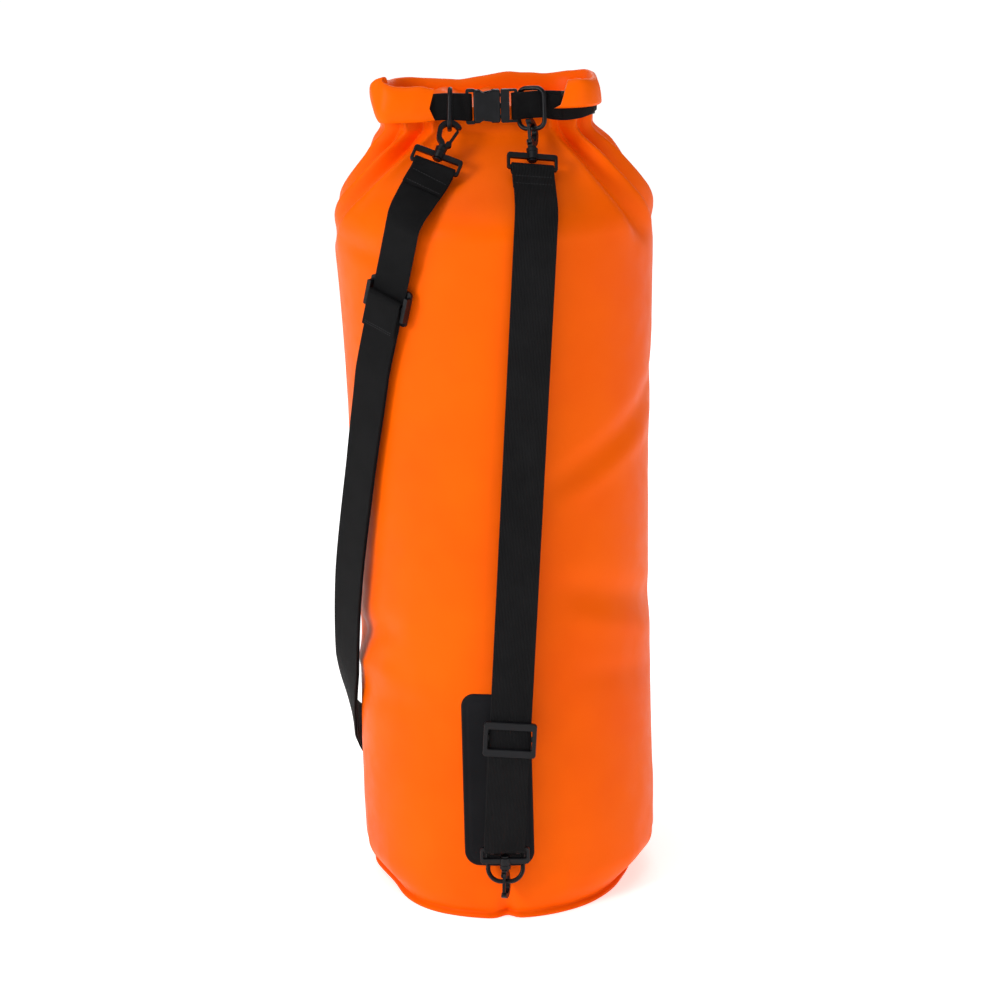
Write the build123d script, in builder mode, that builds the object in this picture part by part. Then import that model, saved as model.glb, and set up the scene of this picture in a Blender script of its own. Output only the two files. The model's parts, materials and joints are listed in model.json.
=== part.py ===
from build123d import *
import os
from math import cos, radians, sin

# A roll-top dry bag standing on its round base, in millimetres.
# +Z is up, -Y is the side with the buckle, and the origin is the centre of the base on the floor.

# Driving sizes
BAG_HEIGHT = 812.0
BASE_RADIUS = 150.0
WAIST_RADIUS = 146.5
SHOULDER_RADIUS = 157.0
FABRIC = 1.0

SHOULDER_Z = 690.0
ROLL_HEIGHT = 42.0
ROLL_THICKNESS = 20.0
ROLL_Z = BAG_HEIGHT - ROLL_HEIGHT

STRAP_WIDTH = 40.0
STRAP_THICKNESS = 1.6
CLOSURE_WIDTH = 25.0
CLOSURE_THICKNESS = 2.0

# Base panel: a disc with the tube's turned hem welded on its edge
PANEL_THICKNESS = 1.2
HEM_INNER_RADIUS = 139.0
PANEL_RADIUS = 149.0

# Outer radius of the stuffed tube at each height
TUBE_PROFILE = [
    (BASE_RADIUS - 4.0, 8.0),
    (BASE_RADIUS - 1.0, 22.0),
    (BASE_RADIUS - 0.3, 45.0),
    (BASE_RADIUS, 90.0),
    (BASE_RADIUS - 2.0, 200.0),
    (WAIST_RADIUS, 340.0),
    (WAIST_RADIUS + 3.0, 470.0),
    (SHOULDER_RADIUS - 4.0, 590.0),
    (SHOULDER_RADIUS, SHOULDER_Z),
]

# The neck narrows from the shoulder to the roll: height, half width, front, back and corner radius
NECK_SECTIONS = [
    (SHOULDER_Z, SHOULDER_RADIUS, -SHOULDER_RADIUS, SHOULDER_RADIUS, SHOULDER_RADIUS),
    (735.0, 124.0, -93.0, 92.0, 87.0),
    (ROLL_Z, 104.0, -64.0, 52.0, 50.0),
]

# The rolled mouth is bent into a C that is open at the front
ROLL_HALF_WIDTH = 98.0
ROLL_BACK_Y = 40.0
ROLL_FRONT_Y = -80.0
ROLL_BACK_BEND = 42.0
ROLL_FRONT_BEND = 28.0
ROLL_LEFT_END_X = -52.0
ROLL_RIGHT_END_X = 58.0
STIFFENER_WIDTH = 24.0
STIFFENER_THICKNESS = 1.6

# Closure webbing and buckle
CLOSURE_Y = -83.0
CLOSURE_Z = 791.5
CLOSURE_TUCK = 12.0

# Snap hook, in its own frame: +X across, +Y from the webbing to the tip, +Z out of its flat face
HOOK_BASE_WIDTH = 48.0
HOOK_BASE_LENGTH = 17.0
HOOK_BASE_THICKNESS = 4.5
HOOK_BAR = 3.5
HOOK_BAR_Y = HOOK_BAR / 2 - HOOK_BASE_LENGTH
HOOK_TOP_BAR = 5.5
HOOK_HUB_RADIUS = 5.2
HOOK_PIN_RADIUS = 2.5
PIN_CLEARANCE = 0.05
HOOK_THICKNESS = 5.0
HOOK_SEAT = 26.8

WEBBING_LOOP_INNER = 3.0
WEBBING_LOOP_OUTER = WEBBING_LOOP_INNER + STRAP_THICKNESS
WEBBING_REACH = WEBBING_LOOP_OUTER - STRAP_THICKNESS / 2 - 0.15
LOOP_CLEAR = WEBBING_LOOP_OUTER + 0.9

# Rings
RING_WIRE = 2.2
UPPER_RING_WIDTH = 26.0
LOWER_RING_WIDTH = 34.0
LOWER_RING_DROP = 27.0

# Slider, in its own frame: +X across the webbing, +Y along it, +Z towards its two outer bars
SLIDER_WIDTH = 51.0
SLIDER_LENGTH = 35.0
SLIDER_RAIL = 4.2
SLIDER_BAR = 7.5
SLIDER_MIDDLE_BAR = 5.0
SLIDER_GAP = 0.3

# Lower anchors: where each strap's lower hook is held, as an angle about the bag's axis
FRONT_ANCHOR_DEG = 268.0
SIDE_ANCHOR_DEG = 146.0
FRONT_PATCH_DEG = 265.7
ANCHOR_RADIUS = 165.0
ANCHOR_HOOK_Z = 66.0
PATCH_WIDTH = 69.0
PATCH_BOTTOM = 57.0
PATCH_TOP = 234.0
PATCH_THICKNESS = 1.5
RING_BAR_RADIUS = 155.6
RING_BAR_Z = 74.0

os.makedirs("parts", exist_ok=True)


def save(node, name):
    """Labels a finished piece and writes it as a STEP file of its own."""
    node.part.label = name
    export_step(node.part, f"parts/{name}.step")


def neck(offset, cap):
    """The neck's solid, its outline moved in by offset and its top lowered by cap."""
    with BuildPart(mode=Mode.PRIVATE) as gathered:
        for z, half_width, front, back, corner in NECK_SECTIONS:
            top = z - cap if z == ROLL_Z else z
            width = 2 * (half_width - offset)
            depth = back - front - 2 * offset
            middle = (front + back) / 2
            largest = min(width, depth) / 2 - 0.5
            with BuildSketch(Plane((0, middle, top), x_dir=(1, 0, 0), z_dir=(0, 0, 1))):
                RectangleRounded(width, depth, min(corner - offset, largest))
        loft(ruled=True)
    return gathered.part


def revolved_tube(offset, bottom):
    """The tube's solid of revolution, its side moved in by offset."""
    side = [(radius - offset, z) for radius, z in TUBE_PROFILE]
    with BuildPart(mode=Mode.PRIVATE) as turned:
        with BuildSketch(Plane.XZ):
            with BuildLine():
                Polyline((0, SHOULDER_Z), (0, bottom), (HEM_INNER_RADIUS - offset, bottom))
                Line((HEM_INNER_RADIUS - offset, bottom), side[0])
                Spline(*side)
                Line(side[-1], (0, SHOULDER_Z))
            make_face()
        revolve(axis=Axis.Z)
    return turned.part


# Bag tube: side wall, turned hem at the base, and gathered neck, all one fabric shell
with BuildPart() as bag_tube:
    add(revolved_tube(0, PANEL_THICKNESS))
    add(neck(0, 0))
    add(revolved_tube(FABRIC, PANEL_THICKNESS), mode=Mode.SUBTRACT)
    add(neck(FABRIC, FABRIC), mode=Mode.SUBTRACT)
    with BuildSketch(Plane.XY.offset(PANEL_THICKNESS)):
        Circle(PANEL_RADIUS)
        Circle(HEM_INNER_RADIUS - FABRIC, mode=Mode.SUBTRACT)
    extrude(amount=FABRIC)
save(bag_tube, "bag_tube")

# Base panel: a flat disc, with a fillet on its lower edge
with BuildPart() as base_panel:
    with BuildSketch():
        Circle(PANEL_RADIUS)
    extrude(amount=PANEL_THICKNESS)
    fillet(base_panel.edges().group_by(Axis.Z)[0], PANEL_THICKNESS / 3)
save(base_panel, "base_panel")


def roll_path():
    """The line down the middle of the rolled mouth, seen from above."""
    with BuildLine(Plane.XY.offset(ROLL_Z)) as path:
        FilletPolyline(
            (ROLL_LEFT_END_X, ROLL_FRONT_Y),
            (-ROLL_HALF_WIDTH, ROLL_FRONT_Y),
            (-ROLL_HALF_WIDTH, ROLL_BACK_Y),
            (ROLL_HALF_WIDTH, ROLL_BACK_Y),
            (ROLL_HALF_WIDTH, ROLL_FRONT_Y),
            (ROLL_RIGHT_END_X, ROLL_FRONT_Y),
            radius=[ROLL_FRONT_BEND, ROLL_BACK_BEND, ROLL_BACK_BEND, ROLL_FRONT_BEND],
        )
    return path.line


def roll_band(width, z, height, end_gap):
    """A band of one width that follows the roll, from z up by height, its ends drawn back by end_gap."""
    with BuildPart(mode=Mode.PRIVATE) as band:
        with BuildSketch(Plane.XY.offset(z)):
            trace(roll_path(), line_width=width)
            with Locations(((ROLL_LEFT_END_X + ROLL_RIGHT_END_X) / 2, ROLL_FRONT_Y)):
                Rectangle(
                    ROLL_RIGHT_END_X - ROLL_LEFT_END_X + 2 * end_gap,
                    2 * ROLL_THICKNESS,
                    mode=Mode.SUBTRACT,
                )
        extrude(amount=height)
    return band.part


stiffener_z = CLOSURE_Z - STIFFENER_WIDTH / 2

# Rolled mouth: the flattened mouth rolled down on itself, round-shouldered, with the strip inside
with BuildPart() as rolled_mouth:
    add(roll_band(ROLL_THICKNESS, ROLL_Z, ROLL_HEIGHT, 0))
    fillet(rolled_mouth.edges().group_by(Axis.Z)[-1], ROLL_THICKNESS * 0.3)
    add(
        roll_band(STIFFENER_THICKNESS + 0.2, stiffener_z - 0.1, STIFFENER_WIDTH + 0.2, 3.0),
        mode=Mode.SUBTRACT,
    )
save(rolled_mouth, "rolled_mouth")

# Stiffener: a flexible plastic strip inside the hem of the mouth
with BuildPart() as mouth_stiffener:
    add(roll_band(STIFFENER_THICKNESS, stiffener_z, STIFFENER_WIDTH, 3.2))
save(mouth_stiffener, "mouth_stiffener")

# Closure webbing: each end is sewn into the roll and loops round its half of the buckle
BUCKLE_LEFT_BAR_X = -21.8
BUCKLE_RIGHT_BAR_X = 23.8
BUCKLE_BAR = 3.0
BUCKLE_FRAME = 4.4


def closure_webbing(name, roll_end_x, bar_x):
    """One end of the closure webbing, from inside the roll to its loop round a buckle's bar."""
    side = 1 if bar_x > 0 else -1
    loop_inner = BUCKLE_BAR / 2 + 1.3
    with BuildPart() as webbing:
        with BuildSketch(Plane.XY.offset(CLOSURE_Z - CLOSURE_WIDTH / 2)):
            with Locations((bar_x, CLOSURE_Y)):
                Circle(loop_inner + CLOSURE_THICKNESS)
            tuck_x = roll_end_x + side * CLOSURE_TUCK
            near_x = bar_x + side * loop_inner
            with Locations(((tuck_x + near_x) / 2, CLOSURE_Y)):
                Rectangle(abs(tuck_x - near_x), CLOSURE_THICKNESS)
            with Locations((bar_x, CLOSURE_Y)):
                Circle(loop_inner, mode=Mode.SUBTRACT)
        extrude(amount=CLOSURE_WIDTH)
    save(webbing, name)


closure_webbing("closure_webbing_left", ROLL_LEFT_END_X, BUCKLE_LEFT_BAR_X)
closure_webbing("closure_webbing_right", ROLL_RIGHT_END_X, BUCKLE_RIGHT_BAR_X)

# Buckle, in its own frame: +X along the webbing, +Y up, +Z out of the bag
BUCKLE = Plane((0, CLOSURE_Y, CLOSURE_Z), x_dir=(1, 0, 0), z_dir=(0, -1, 0))
BUCKLE_DEPTH = 11.0
SOCKET_LEFT_X = BUCKLE_LEFT_BAR_X - BUCKLE_BAR / 2
SOCKET_BODY_X = -16.0
SOCKET_MOUTH_X = 9.0
SOCKET_HALF = 15.5
SOCKET_FRAME_HALF = 16.5
CAVITY_HALF = 12.4
CAVITY_DEPTH = 6.4
WINDOW_LEFT_X = -12.0
WINDOW_RIGHT_X = 3.0
PLUG_LEFT_X = SOCKET_MOUTH_X + 0.4
PLUG_SLOT_X = 17.6
PLUG_RIGHT_X = BUCKLE_RIGHT_BAR_X + BUCKLE_BAR / 2
PLUG_DEPTH = 8.4
WEBBING_SLOT_HALF = 13.3
TONGUE_HALF = 2.4
TONGUE_THICKNESS = 4.4
ARM_PIN_RADIUS = 1.0
ARM_PIVOT_X = 12.5
ARM_PIVOT_Y = 10.0
ARM_THICKNESS = 4.6
ARM_WIDTH = 3.2
ARM_TIP_X = -11.0

with BuildPart() as buckle_socket:
    with BuildSketch(BUCKLE.offset(-BUCKLE_DEPTH / 2)):
        with Locations(((SOCKET_BODY_X + SOCKET_MOUTH_X) / 2, 0)):
            RectangleRounded(SOCKET_MOUTH_X - SOCKET_BODY_X, 2 * SOCKET_HALF, 2.5)
    extrude(amount=BUCKLE_DEPTH)
    fillet(buckle_socket.edges().filter_by(GeomType.LINE).filter_by(Axis.X), 2.0)
    with BuildSketch(BUCKLE.offset(-BUCKLE_FRAME / 2)):
        with Locations(((SOCKET_LEFT_X + SOCKET_BODY_X) / 2 + 1, 0)):
            RectangleRounded(SOCKET_BODY_X - SOCKET_LEFT_X + 2, 2 * SOCKET_FRAME_HALF, 2.5)
    extrude(amount=BUCKLE_FRAME)
    with BuildSketch(BUCKLE.offset(-BUCKLE_DEPTH / 2)):
        slot_left = BUCKLE_LEFT_BAR_X + BUCKLE_BAR / 2
        with Locations(((slot_left + SOCKET_BODY_X) / 2, 0)):
            Rectangle(SOCKET_BODY_X - slot_left, 2 * WEBBING_SLOT_HALF)
    extrude(amount=BUCKLE_DEPTH, mode=Mode.SUBTRACT)
    with BuildSketch(BUCKLE.offset(-CAVITY_DEPTH / 2)):
        with Locations(((ARM_TIP_X - 2 + SOCKET_MOUTH_X) / 2, 0)):
            Rectangle(SOCKET_MOUTH_X - ARM_TIP_X + 2, 2 * CAVITY_HALF)
        with Locations(((WINDOW_LEFT_X + WINDOW_RIGHT_X) / 2, 0)):
            Rectangle(WINDOW_RIGHT_X - WINDOW_LEFT_X, 4 * CAVITY_HALF)
    extrude(amount=CAVITY_DEPTH, mode=Mode.SUBTRACT)
    with BuildSketch(BUCKLE.offset(-BUCKLE_DEPTH / 2)):
        with Locations((-4.5, SOCKET_HALF + 3.2), (-4.5, -SOCKET_HALF - 3.2)):
            Ellipse(7.0, 6.0)
    extrude(amount=BUCKLE_DEPTH, mode=Mode.SUBTRACT)
save(buckle_socket, "buckle_socket")

with BuildPart() as buckle_plug:
    with BuildSketch(BUCKLE.offset(-BUCKLE_FRAME / 2)):
        with Locations(((PLUG_LEFT_X + PLUG_RIGHT_X) / 2, 0)):
            RectangleRounded(PLUG_RIGHT_X - PLUG_LEFT_X, 2 * SOCKET_HALF, 2.0)
        slot_right = BUCKLE_RIGHT_BAR_X - BUCKLE_BAR / 2
        with Locations(((slot_right + PLUG_SLOT_X) / 2, 0)):
            Rectangle(slot_right - PLUG_SLOT_X, 2 * WEBBING_SLOT_HALF, mode=Mode.SUBTRACT)
    extrude(amount=BUCKLE_FRAME)
    with BuildSketch(BUCKLE.offset(-PLUG_DEPTH / 2)):
        with Locations(((PLUG_LEFT_X + PLUG_SLOT_X) / 2, 0)):
            RectangleRounded(PLUG_SLOT_X - PLUG_LEFT_X, 2 * SOCKET_HALF, 2.0)
    extrude(amount=PLUG_DEPTH)
    with BuildSketch(BUCKLE.offset(-ARM_THICKNESS / 2 - 0.2)):
        with Locations((ARM_PIVOT_X, ARM_PIVOT_Y), (ARM_PIVOT_X, -ARM_PIVOT_Y)):
            Circle(ARM_WIDTH / 2 + 0.75)
        with Locations((ARM_PIVOT_X - 3, ARM_PIVOT_Y - 0.6), (ARM_PIVOT_X - 3, 0.6 - ARM_PIVOT_Y)):
            Rectangle(6.0, ARM_WIDTH + 3.6)
    extrude(amount=ARM_THICKNESS + 0.4, mode=Mode.SUBTRACT)
    with BuildSketch(BUCKLE.offset(-TONGUE_THICKNESS / 2)):
        RectangleRounded(2 * PLUG_LEFT_X + 1, 2 * TONGUE_HALF, 1.0)
    extrude(amount=TONGUE_THICKNESS)
    with BuildSketch(BUCKLE.offset(-PLUG_DEPTH / 2)):
        with Locations((ARM_PIVOT_X, ARM_PIVOT_Y), (ARM_PIVOT_X, -ARM_PIVOT_Y)):
            Circle(ARM_PIN_RADIUS)
    extrude(amount=PLUG_DEPTH)
save(buckle_plug, "buckle_plug")


def buckle_arm(name, side):
    """One side arm of the plug, whose head latches in the socket's window and is squeezed to open."""
    with BuildPart() as arm:
        with BuildSketch(BUCKLE.offset(-ARM_THICKNESS / 2)):
            with BuildLine():
                Polyline(
                    (ARM_PIVOT_X, side * (ARM_PIVOT_Y - ARM_WIDTH / 2)),
                    (ARM_TIP_X, side * (ARM_PIVOT_Y - ARM_WIDTH / 2)),
                    (ARM_TIP_X, side * (ARM_PIVOT_Y - 0.2)),
                    (-6.0, side * 13.6),
                    (0.5, side * 14.6),
                    (2.6, side * 13.9),
                    (2.6, side * (ARM_PIVOT_Y + ARM_WIDTH / 2)),
                    (ARM_PIVOT_X, side * (ARM_PIVOT_Y + ARM_WIDTH / 2)),
                    close=True,
                )
            make_face()
            with Locations((ARM_PIVOT_X, side * ARM_PIVOT_Y)):
                Circle(ARM_WIDTH / 2)
                Circle(ARM_PIN_RADIUS + PIN_CLEARANCE, mode=Mode.SUBTRACT)
        extrude(amount=ARM_THICKNESS)
    save(arm, name)


buckle_arm("buckle_arm_upper", 1)
buckle_arm("buckle_arm_lower", -1)


def wire_ring(frame, half_width, top_y, bottom_y, radii):
    """A closed ring of round wire, symmetrical about its frame's Y axis, with its corner radii."""
    with BuildPart() as ring:
        with BuildLine(frame) as path:
            FilletPolyline(
                (0, top_y), (half_width, top_y), (half_width, bottom_y), (0, bottom_y), radius=radii
            )
        wire = path.wires()[0]
        with BuildSketch(Plane(wire @ 0, z_dir=wire % 0)):
            Circle(RING_WIRE)
        sweep(path=wire)
        mirror(about=Plane(frame.origin, x_dir=frame.y_dir, z_dir=frame.x_dir))
    return ring


UPPER_RING_CORNER = 8.0


def upper_ring(name, top, bottom, across):
    """A ring threaded on the closure webbing. Its long axis runs from top to bottom."""
    middle = (Vector(*top) + Vector(*bottom)) * 0.5
    long_axis = (Vector(*top) - Vector(*bottom)).normalized()
    normal = Vector(*across).cross(long_axis).normalized()
    frame = Plane(middle, x_dir=long_axis.cross(normal) * -1, z_dir=normal)
    half_length = (Vector(*top) - Vector(*bottom)).length / 2
    radii = [UPPER_RING_CORNER, UPPER_RING_CORNER]
    save(wire_ring(frame, UPPER_RING_WIDTH / 2, half_length, -half_length, radii), name)


LEFT_RING_TOP = (-37.5, -79.5, 806.8)
LEFT_RING_BOTTOM = (-39.0, -88.6, 772.0)
RIGHT_RING_TOP = (38.1, -81.2, 806.9)
RIGHT_RING_BOTTOM = (38.1, -85.6, 769.8)
RIGHT_RING_SKEW = radians(25)

upper_ring("ring_upper_left", LEFT_RING_TOP, LEFT_RING_BOTTOM, (0, 1, 0))
upper_ring(
    "ring_upper_right",
    RIGHT_RING_TOP,
    RIGHT_RING_BOTTOM,
    (cos(RIGHT_RING_SKEW), -sin(RIGHT_RING_SKEW), 0),
)


def shifted(frame, x, y, z):
    """The same frame moved along its own axes."""
    return Plane(frame.from_local_coords((x, y, z)), x_dir=frame.x_dir, z_dir=frame.z_dir)


def turned(frame, angle):
    """The frame turned about its own Y axis, as a hook turns on its swivel."""
    swing = radians(angle)
    x_dir = frame.x_dir * cos(swing) + frame.z_dir * sin(swing)
    z_dir = frame.z_dir * cos(swing) - frame.x_dir * sin(swing)
    return Plane(frame.origin, x_dir=x_dir, z_dir=z_dir)


def across_y(frame, y):
    """A sketch plane square to the frame's Y axis, at y along it."""
    return Plane(frame.from_local_coords((0, y, 0)), x_dir=frame.x_dir, z_dir=frame.y_dir)


GATE_PIVOT = (4.9, 10.6)
GATE_TIP = (8.3, 27.2)


def snap_hook(name, frame, swivel_angle):
    """A moulded snap hook: webbing base, swivelling hook and spring gate."""
    with BuildPart() as base:
        with BuildSketch(shifted(frame, 0, -HOOK_BASE_LENGTH / 2, -HOOK_BASE_THICKNESS / 2)):
            RectangleRounded(HOOK_BASE_WIDTH, HOOK_BASE_LENGTH, 3.0)
            slot_length = HOOK_BASE_LENGTH - HOOK_BAR - HOOK_TOP_BAR
            with Locations((0, HOOK_BASE_LENGTH / 2 - HOOK_TOP_BAR - slot_length / 2)):
                RectangleRounded(STRAP_WIDTH + 2.2, slot_length, 1.0, mode=Mode.SUBTRACT)
        extrude(amount=HOOK_BASE_THICKNESS)
        flat_axis = Axis(frame.origin, frame.z_dir)
        fillet(base.faces().sort_by(flat_axis)[-1].edges(), 0.9)
        fillet(base.faces().sort_by(flat_axis)[0].edges(), 0.9)
        with BuildSketch(across_y(frame, -HOOK_TOP_BAR - 0.6)):
            Circle(HOOK_HUB_RADIUS)
        extrude(amount=HOOK_TOP_BAR + 1.6)
        with BuildSketch(across_y(frame, -HOOK_TOP_BAR - 1.0)):
            Circle(HOOK_PIN_RADIUS + PIN_CLEARANCE)
        extrude(amount=HOOK_TOP_BAR + 3.0, mode=Mode.SUBTRACT)
    save(base, f"hook_base_{name}")

    body_frame = turned(frame, swivel_angle)
    with BuildPart() as body:
        with BuildSketch(shifted(body_frame, 0, 0, -HOOK_THICKNESS / 2)):
            with BuildLine() as spine:
                Line((-0.5, 5.0), (-0.5, 7.5))
                Spline((-0.5, 7.5), (-4.6, 13.0), (-7.2, 20.0), tangents=[(0, 1), (-0.1, 1)])
                ThreePointArc((-7.2, 20.0), (-1.2, 32.5), (8.8, 29.4))
            trace(spine.line, line_width=4.6)
            with BuildLine() as heel:
                Line((0.5, 5.0), (4.4, 9.2))
            trace(heel.line, line_width=4.4)
        extrude(amount=HOOK_THICKNESS)
        with BuildSketch(across_y(body_frame, 1.4)):
            Circle(HOOK_HUB_RADIUS)
        extrude(amount=3.6, taper=-4)
        with BuildSketch(across_y(body_frame, 5.0)):
            Circle(HOOK_HUB_RADIUS - 0.8)
        extrude(amount=2.6, taper=14)
        with BuildSketch(across_y(body_frame, -HOOK_TOP_BAR - 0.9)):
            Circle(HOOK_PIN_RADIUS)
        extrude(amount=HOOK_TOP_BAR + 3.0)
        with BuildSketch(across_y(body_frame, -HOOK_TOP_BAR - 2.4)):
            Circle(HOOK_PIN_RADIUS + 1.3)
        extrude(amount=1.5)
        with BuildSketch(shifted(body_frame, *GATE_PIVOT, -HOOK_THICKNESS / 2)):
            Circle(2.9)
        extrude(amount=HOOK_THICKNESS)
        with BuildSketch(shifted(body_frame, *GATE_PIVOT, -1.7)):
            Circle(3.4)
            with Locations((2.2, 3.4)):
                Rectangle(7.0, 6.8)
        extrude(amount=3.4, mode=Mode.SUBTRACT)
        with BuildSketch(shifted(body_frame, *GATE_PIVOT, -2.2)):
            Circle(1.0)
        extrude(amount=4.4)
    save(body, f"hook_{name}")

    with BuildPart() as gate:
        with BuildSketch(shifted(body_frame, 0, 0, -1.4)):
            with BuildLine() as bar:
                Line(GATE_PIVOT, GATE_TIP)
            trace(bar.line, line_width=2.6)
            with Locations(GATE_PIVOT):
                Circle(2.0)
                Circle(1.0 + PIN_CLEARANCE, mode=Mode.SUBTRACT)
        extrude(amount=2.8)
    save(gate, f"hook_gate_{name}")


def hook_frame(ring_wire, tip_dir, across):
    """The frame of a hook that holds a ring's wire in its seat."""
    y_dir = Vector(*tip_dir).normalized()
    x_dir = (Vector(*across) - y_dir * Vector(*across).dot(y_dir)).normalized()
    origin = Vector(*ring_wire) - y_dir * HOOK_SEAT
    return Plane(origin, x_dir=x_dir, z_dir=x_dir.cross(y_dir))


HOOK_LEFT = hook_frame(LEFT_RING_BOTTOM, (0.36, 0.52, 0.77), (1, 0, -0.22))
HOOK_RIGHT = hook_frame(RIGHT_RING_BOTTOM, (0.02, 0.57, 0.82), (1, 0, -0.32))
snap_hook("upper_left", HOOK_LEFT, 0)
snap_hook("upper_right", HOOK_RIGHT, 122)


def outward(angle):
    """The horizontal direction at an angle about the bag's axis."""
    return Vector(cos(radians(angle)), sin(radians(angle)), 0)


def lower_anchor(name, angle, patch_angle):
    """What holds a strap's lower end: welded patch, ring tab, ring, and the frame of its hook."""
    out = outward(angle)
    across = Vector(0, 0, 1).cross(out)
    patch_out = outward(patch_angle)
    patch_middle = (0, 0, (PATCH_BOTTOM + PATCH_TOP) / 2)
    face = Plane(patch_middle, x_dir=Vector(0, 0, 1).cross(patch_out), z_dir=patch_out)
    with BuildPart() as patch:
        add(revolved_tube(-PATCH_THICKNESS - 0.05, PANEL_THICKNESS))
        add(revolved_tube(-0.05, PANEL_THICKNESS), mode=Mode.SUBTRACT)
        with BuildSketch(face):
            RectangleRounded(PATCH_WIDTH, PATCH_TOP - PATCH_BOTTOM, 14.0)
        extrude(amount=2 * BASE_RADIUS, mode=Mode.INTERSECT)
    save(patch, f"patch_{name}")

    bar = Plane(out * RING_BAR_RADIUS + Vector(0, 0, RING_BAR_Z), x_dir=out, z_dir=across)
    tab_inner = RING_WIRE + 0.15
    tab_outer = tab_inner + 1.2
    back = BASE_RADIUS + PATCH_THICKNESS + 0.35 - RING_BAR_RADIUS
    with BuildPart() as tab:
        with BuildSketch(bar.offset(-11)):
            Circle(tab_outer)
            with Locations((back + 0.6, -12)):
                Rectangle(1.2, 24)
            with Locations((back + 1.9, -13)):
                Rectangle(1.4, 22)
            Circle(tab_inner, mode=Mode.SUBTRACT)
        extrude(amount=22)
    save(tab, f"ring_tab_{name}")

    hook_out = out * ANCHOR_RADIUS
    wire = hook_out + Vector(0, 0, RING_BAR_Z - LOWER_RING_DROP)
    bar_middle = out * RING_BAR_RADIUS + Vector(0, 0, RING_BAR_Z)
    down = (wire - bar_middle).normalized()
    drop = (wire - bar_middle).length
    ring_frame = Plane(bar_middle, x_dir=across, z_dir=across.cross(down))
    ring = wire_ring(ring_frame, LOWER_RING_WIDTH / 2, 0, drop, [3.0, 13.0])
    save(ring, f"ring_lower_{name}")
    return Plane(hook_out + Vector(0, 0, ANCHOR_HOOK_Z), x_dir=across * -1, z_dir=out)


HOOK_FRONT = lower_anchor("front", FRONT_ANCHOR_DEG, FRONT_PATCH_DEG)
HOOK_SIDE = lower_anchor("side", SIDE_ANCHOR_DEG, SIDE_ANCHOR_DEG)
snap_hook("lower_front", HOOK_FRONT, 78)
snap_hook("lower_side", HOOK_SIDE, 78)


def slider(name, frame):
    """A three-bar slider: two outer bars on one side of the webbing and the middle bar on the other."""
    half_webbing = STRAP_THICKNESS / 2 + SLIDER_GAP
    rail_x = SLIDER_WIDTH / 2 - SLIDER_RAIL / 2
    with BuildPart() as part:
        with BuildSketch(shifted(frame, 0, 0, half_webbing)):
            RectangleRounded(SLIDER_WIDTH, SLIDER_LENGTH, 3.5)
            inner_length = SLIDER_LENGTH - 2 * SLIDER_BAR
            RectangleRounded(SLIDER_WIDTH - 2 * SLIDER_RAIL, inner_length, 1.5, mode=Mode.SUBTRACT)
        extrude(amount=3.2)
        fillet(part.faces().sort_by(Axis(frame.origin, frame.z_dir))[-1].edges(), 0.9)
        with BuildSketch(shifted(frame, 0, 0, -half_webbing - 2.6)):
            with Locations((rail_x, 0), (-rail_x, 0)):
                RectangleRounded(SLIDER_RAIL, SLIDER_LENGTH - 10.0, 1.2)
        extrude(amount=2 * half_webbing + 3.6)
        with BuildSketch(shifted(frame, 0, 0, -half_webbing - 2.6)):
            Rectangle(SLIDER_WIDTH - SLIDER_RAIL, SLIDER_MIDDLE_BAR)
        extrude(amount=2.6)
    save(part, name)


def webbing_band(stations):
    """A flat band lofted through stations of (centre, facing, across).

    At a hook's bar the band lies along the bar, given as across. Elsewhere across is None,
    and the band lies square to its own run."""
    centres = [station[0] for station in stations]
    with BuildPart(mode=Mode.PRIVATE) as band:
        for i, (centre, facing, across) in enumerate(stations):
            before = centres[max(i - 1, 0)]
            after = centres[min(i + 1, len(centres) - 1)]
            along = (after - before).normalized()
            out = (facing - along * facing.dot(along)).normalized()
            width_dir = out.cross(along)
            if across is not None:
                width_dir = across * (1 if across.dot(width_dir) > 0 else -1)
                out = facing
            plane = Plane(centre, x_dir=width_dir, z_dir=width_dir.cross(out))
            with BuildSketch(plane):
                Rectangle(STRAP_WIDTH, STRAP_THICKNESS)
        loft(ruled=True)
    return band.part


def webbing_loop(frame, side):
    """The turn of webbing round a hook base's bar, and its start on the bar's front (1) or back (-1)."""
    bar_end = frame.from_local_coords((-STRAP_WIDTH / 2, HOOK_BAR_Y, 0))
    with BuildPart(mode=Mode.PRIVATE) as loop:
        with BuildSketch(Plane(bar_end, x_dir=frame.y_dir, z_dir=frame.x_dir)):
            Circle(WEBBING_LOOP_OUTER)
            with Locations((-LOOP_CLEAR / 2, side * WEBBING_REACH)):
                Rectangle(LOOP_CLEAR, STRAP_THICKNESS)
            Circle(WEBBING_LOOP_INNER, mode=Mode.SUBTRACT)
        extrude(amount=STRAP_WIDTH)
    return loop.part


def at_bar(frame, side):
    """The station where webbing runs off a hook base's bar, on its front (1) or its back (-1)."""
    centre = frame.from_local_coords((0, HOOK_BAR_Y - LOOP_CLEAR, side * WEBBING_REACH))
    return (centre, frame.z_dir, frame.x_dir)


def between(a, b, share):
    """The point a share of the way from a to b."""
    return a + (b - a) * share


def strap(name, stations, upper_loop, lower_loop):
    """A shoulder strap's main run, with its turns round the bars of the hooks at its two ends."""
    with BuildPart() as main:
        add(webbing_band(stations))
        add(upper_loop)
        add(lower_loop)
    save(main, f"strap_{name}")


def strap_return(name, stations):
    """The layer of a strap that comes back from the lower hook to the slider."""
    with BuildPart() as layer:
        add(webbing_band(stations))
    save(layer, f"strap_return_{name}")


RETURN_OFFSET = STRAP_THICKNESS / 2 + SLIDER_GAP + 1.3
RETURN_END_GAP = 3.0

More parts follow.
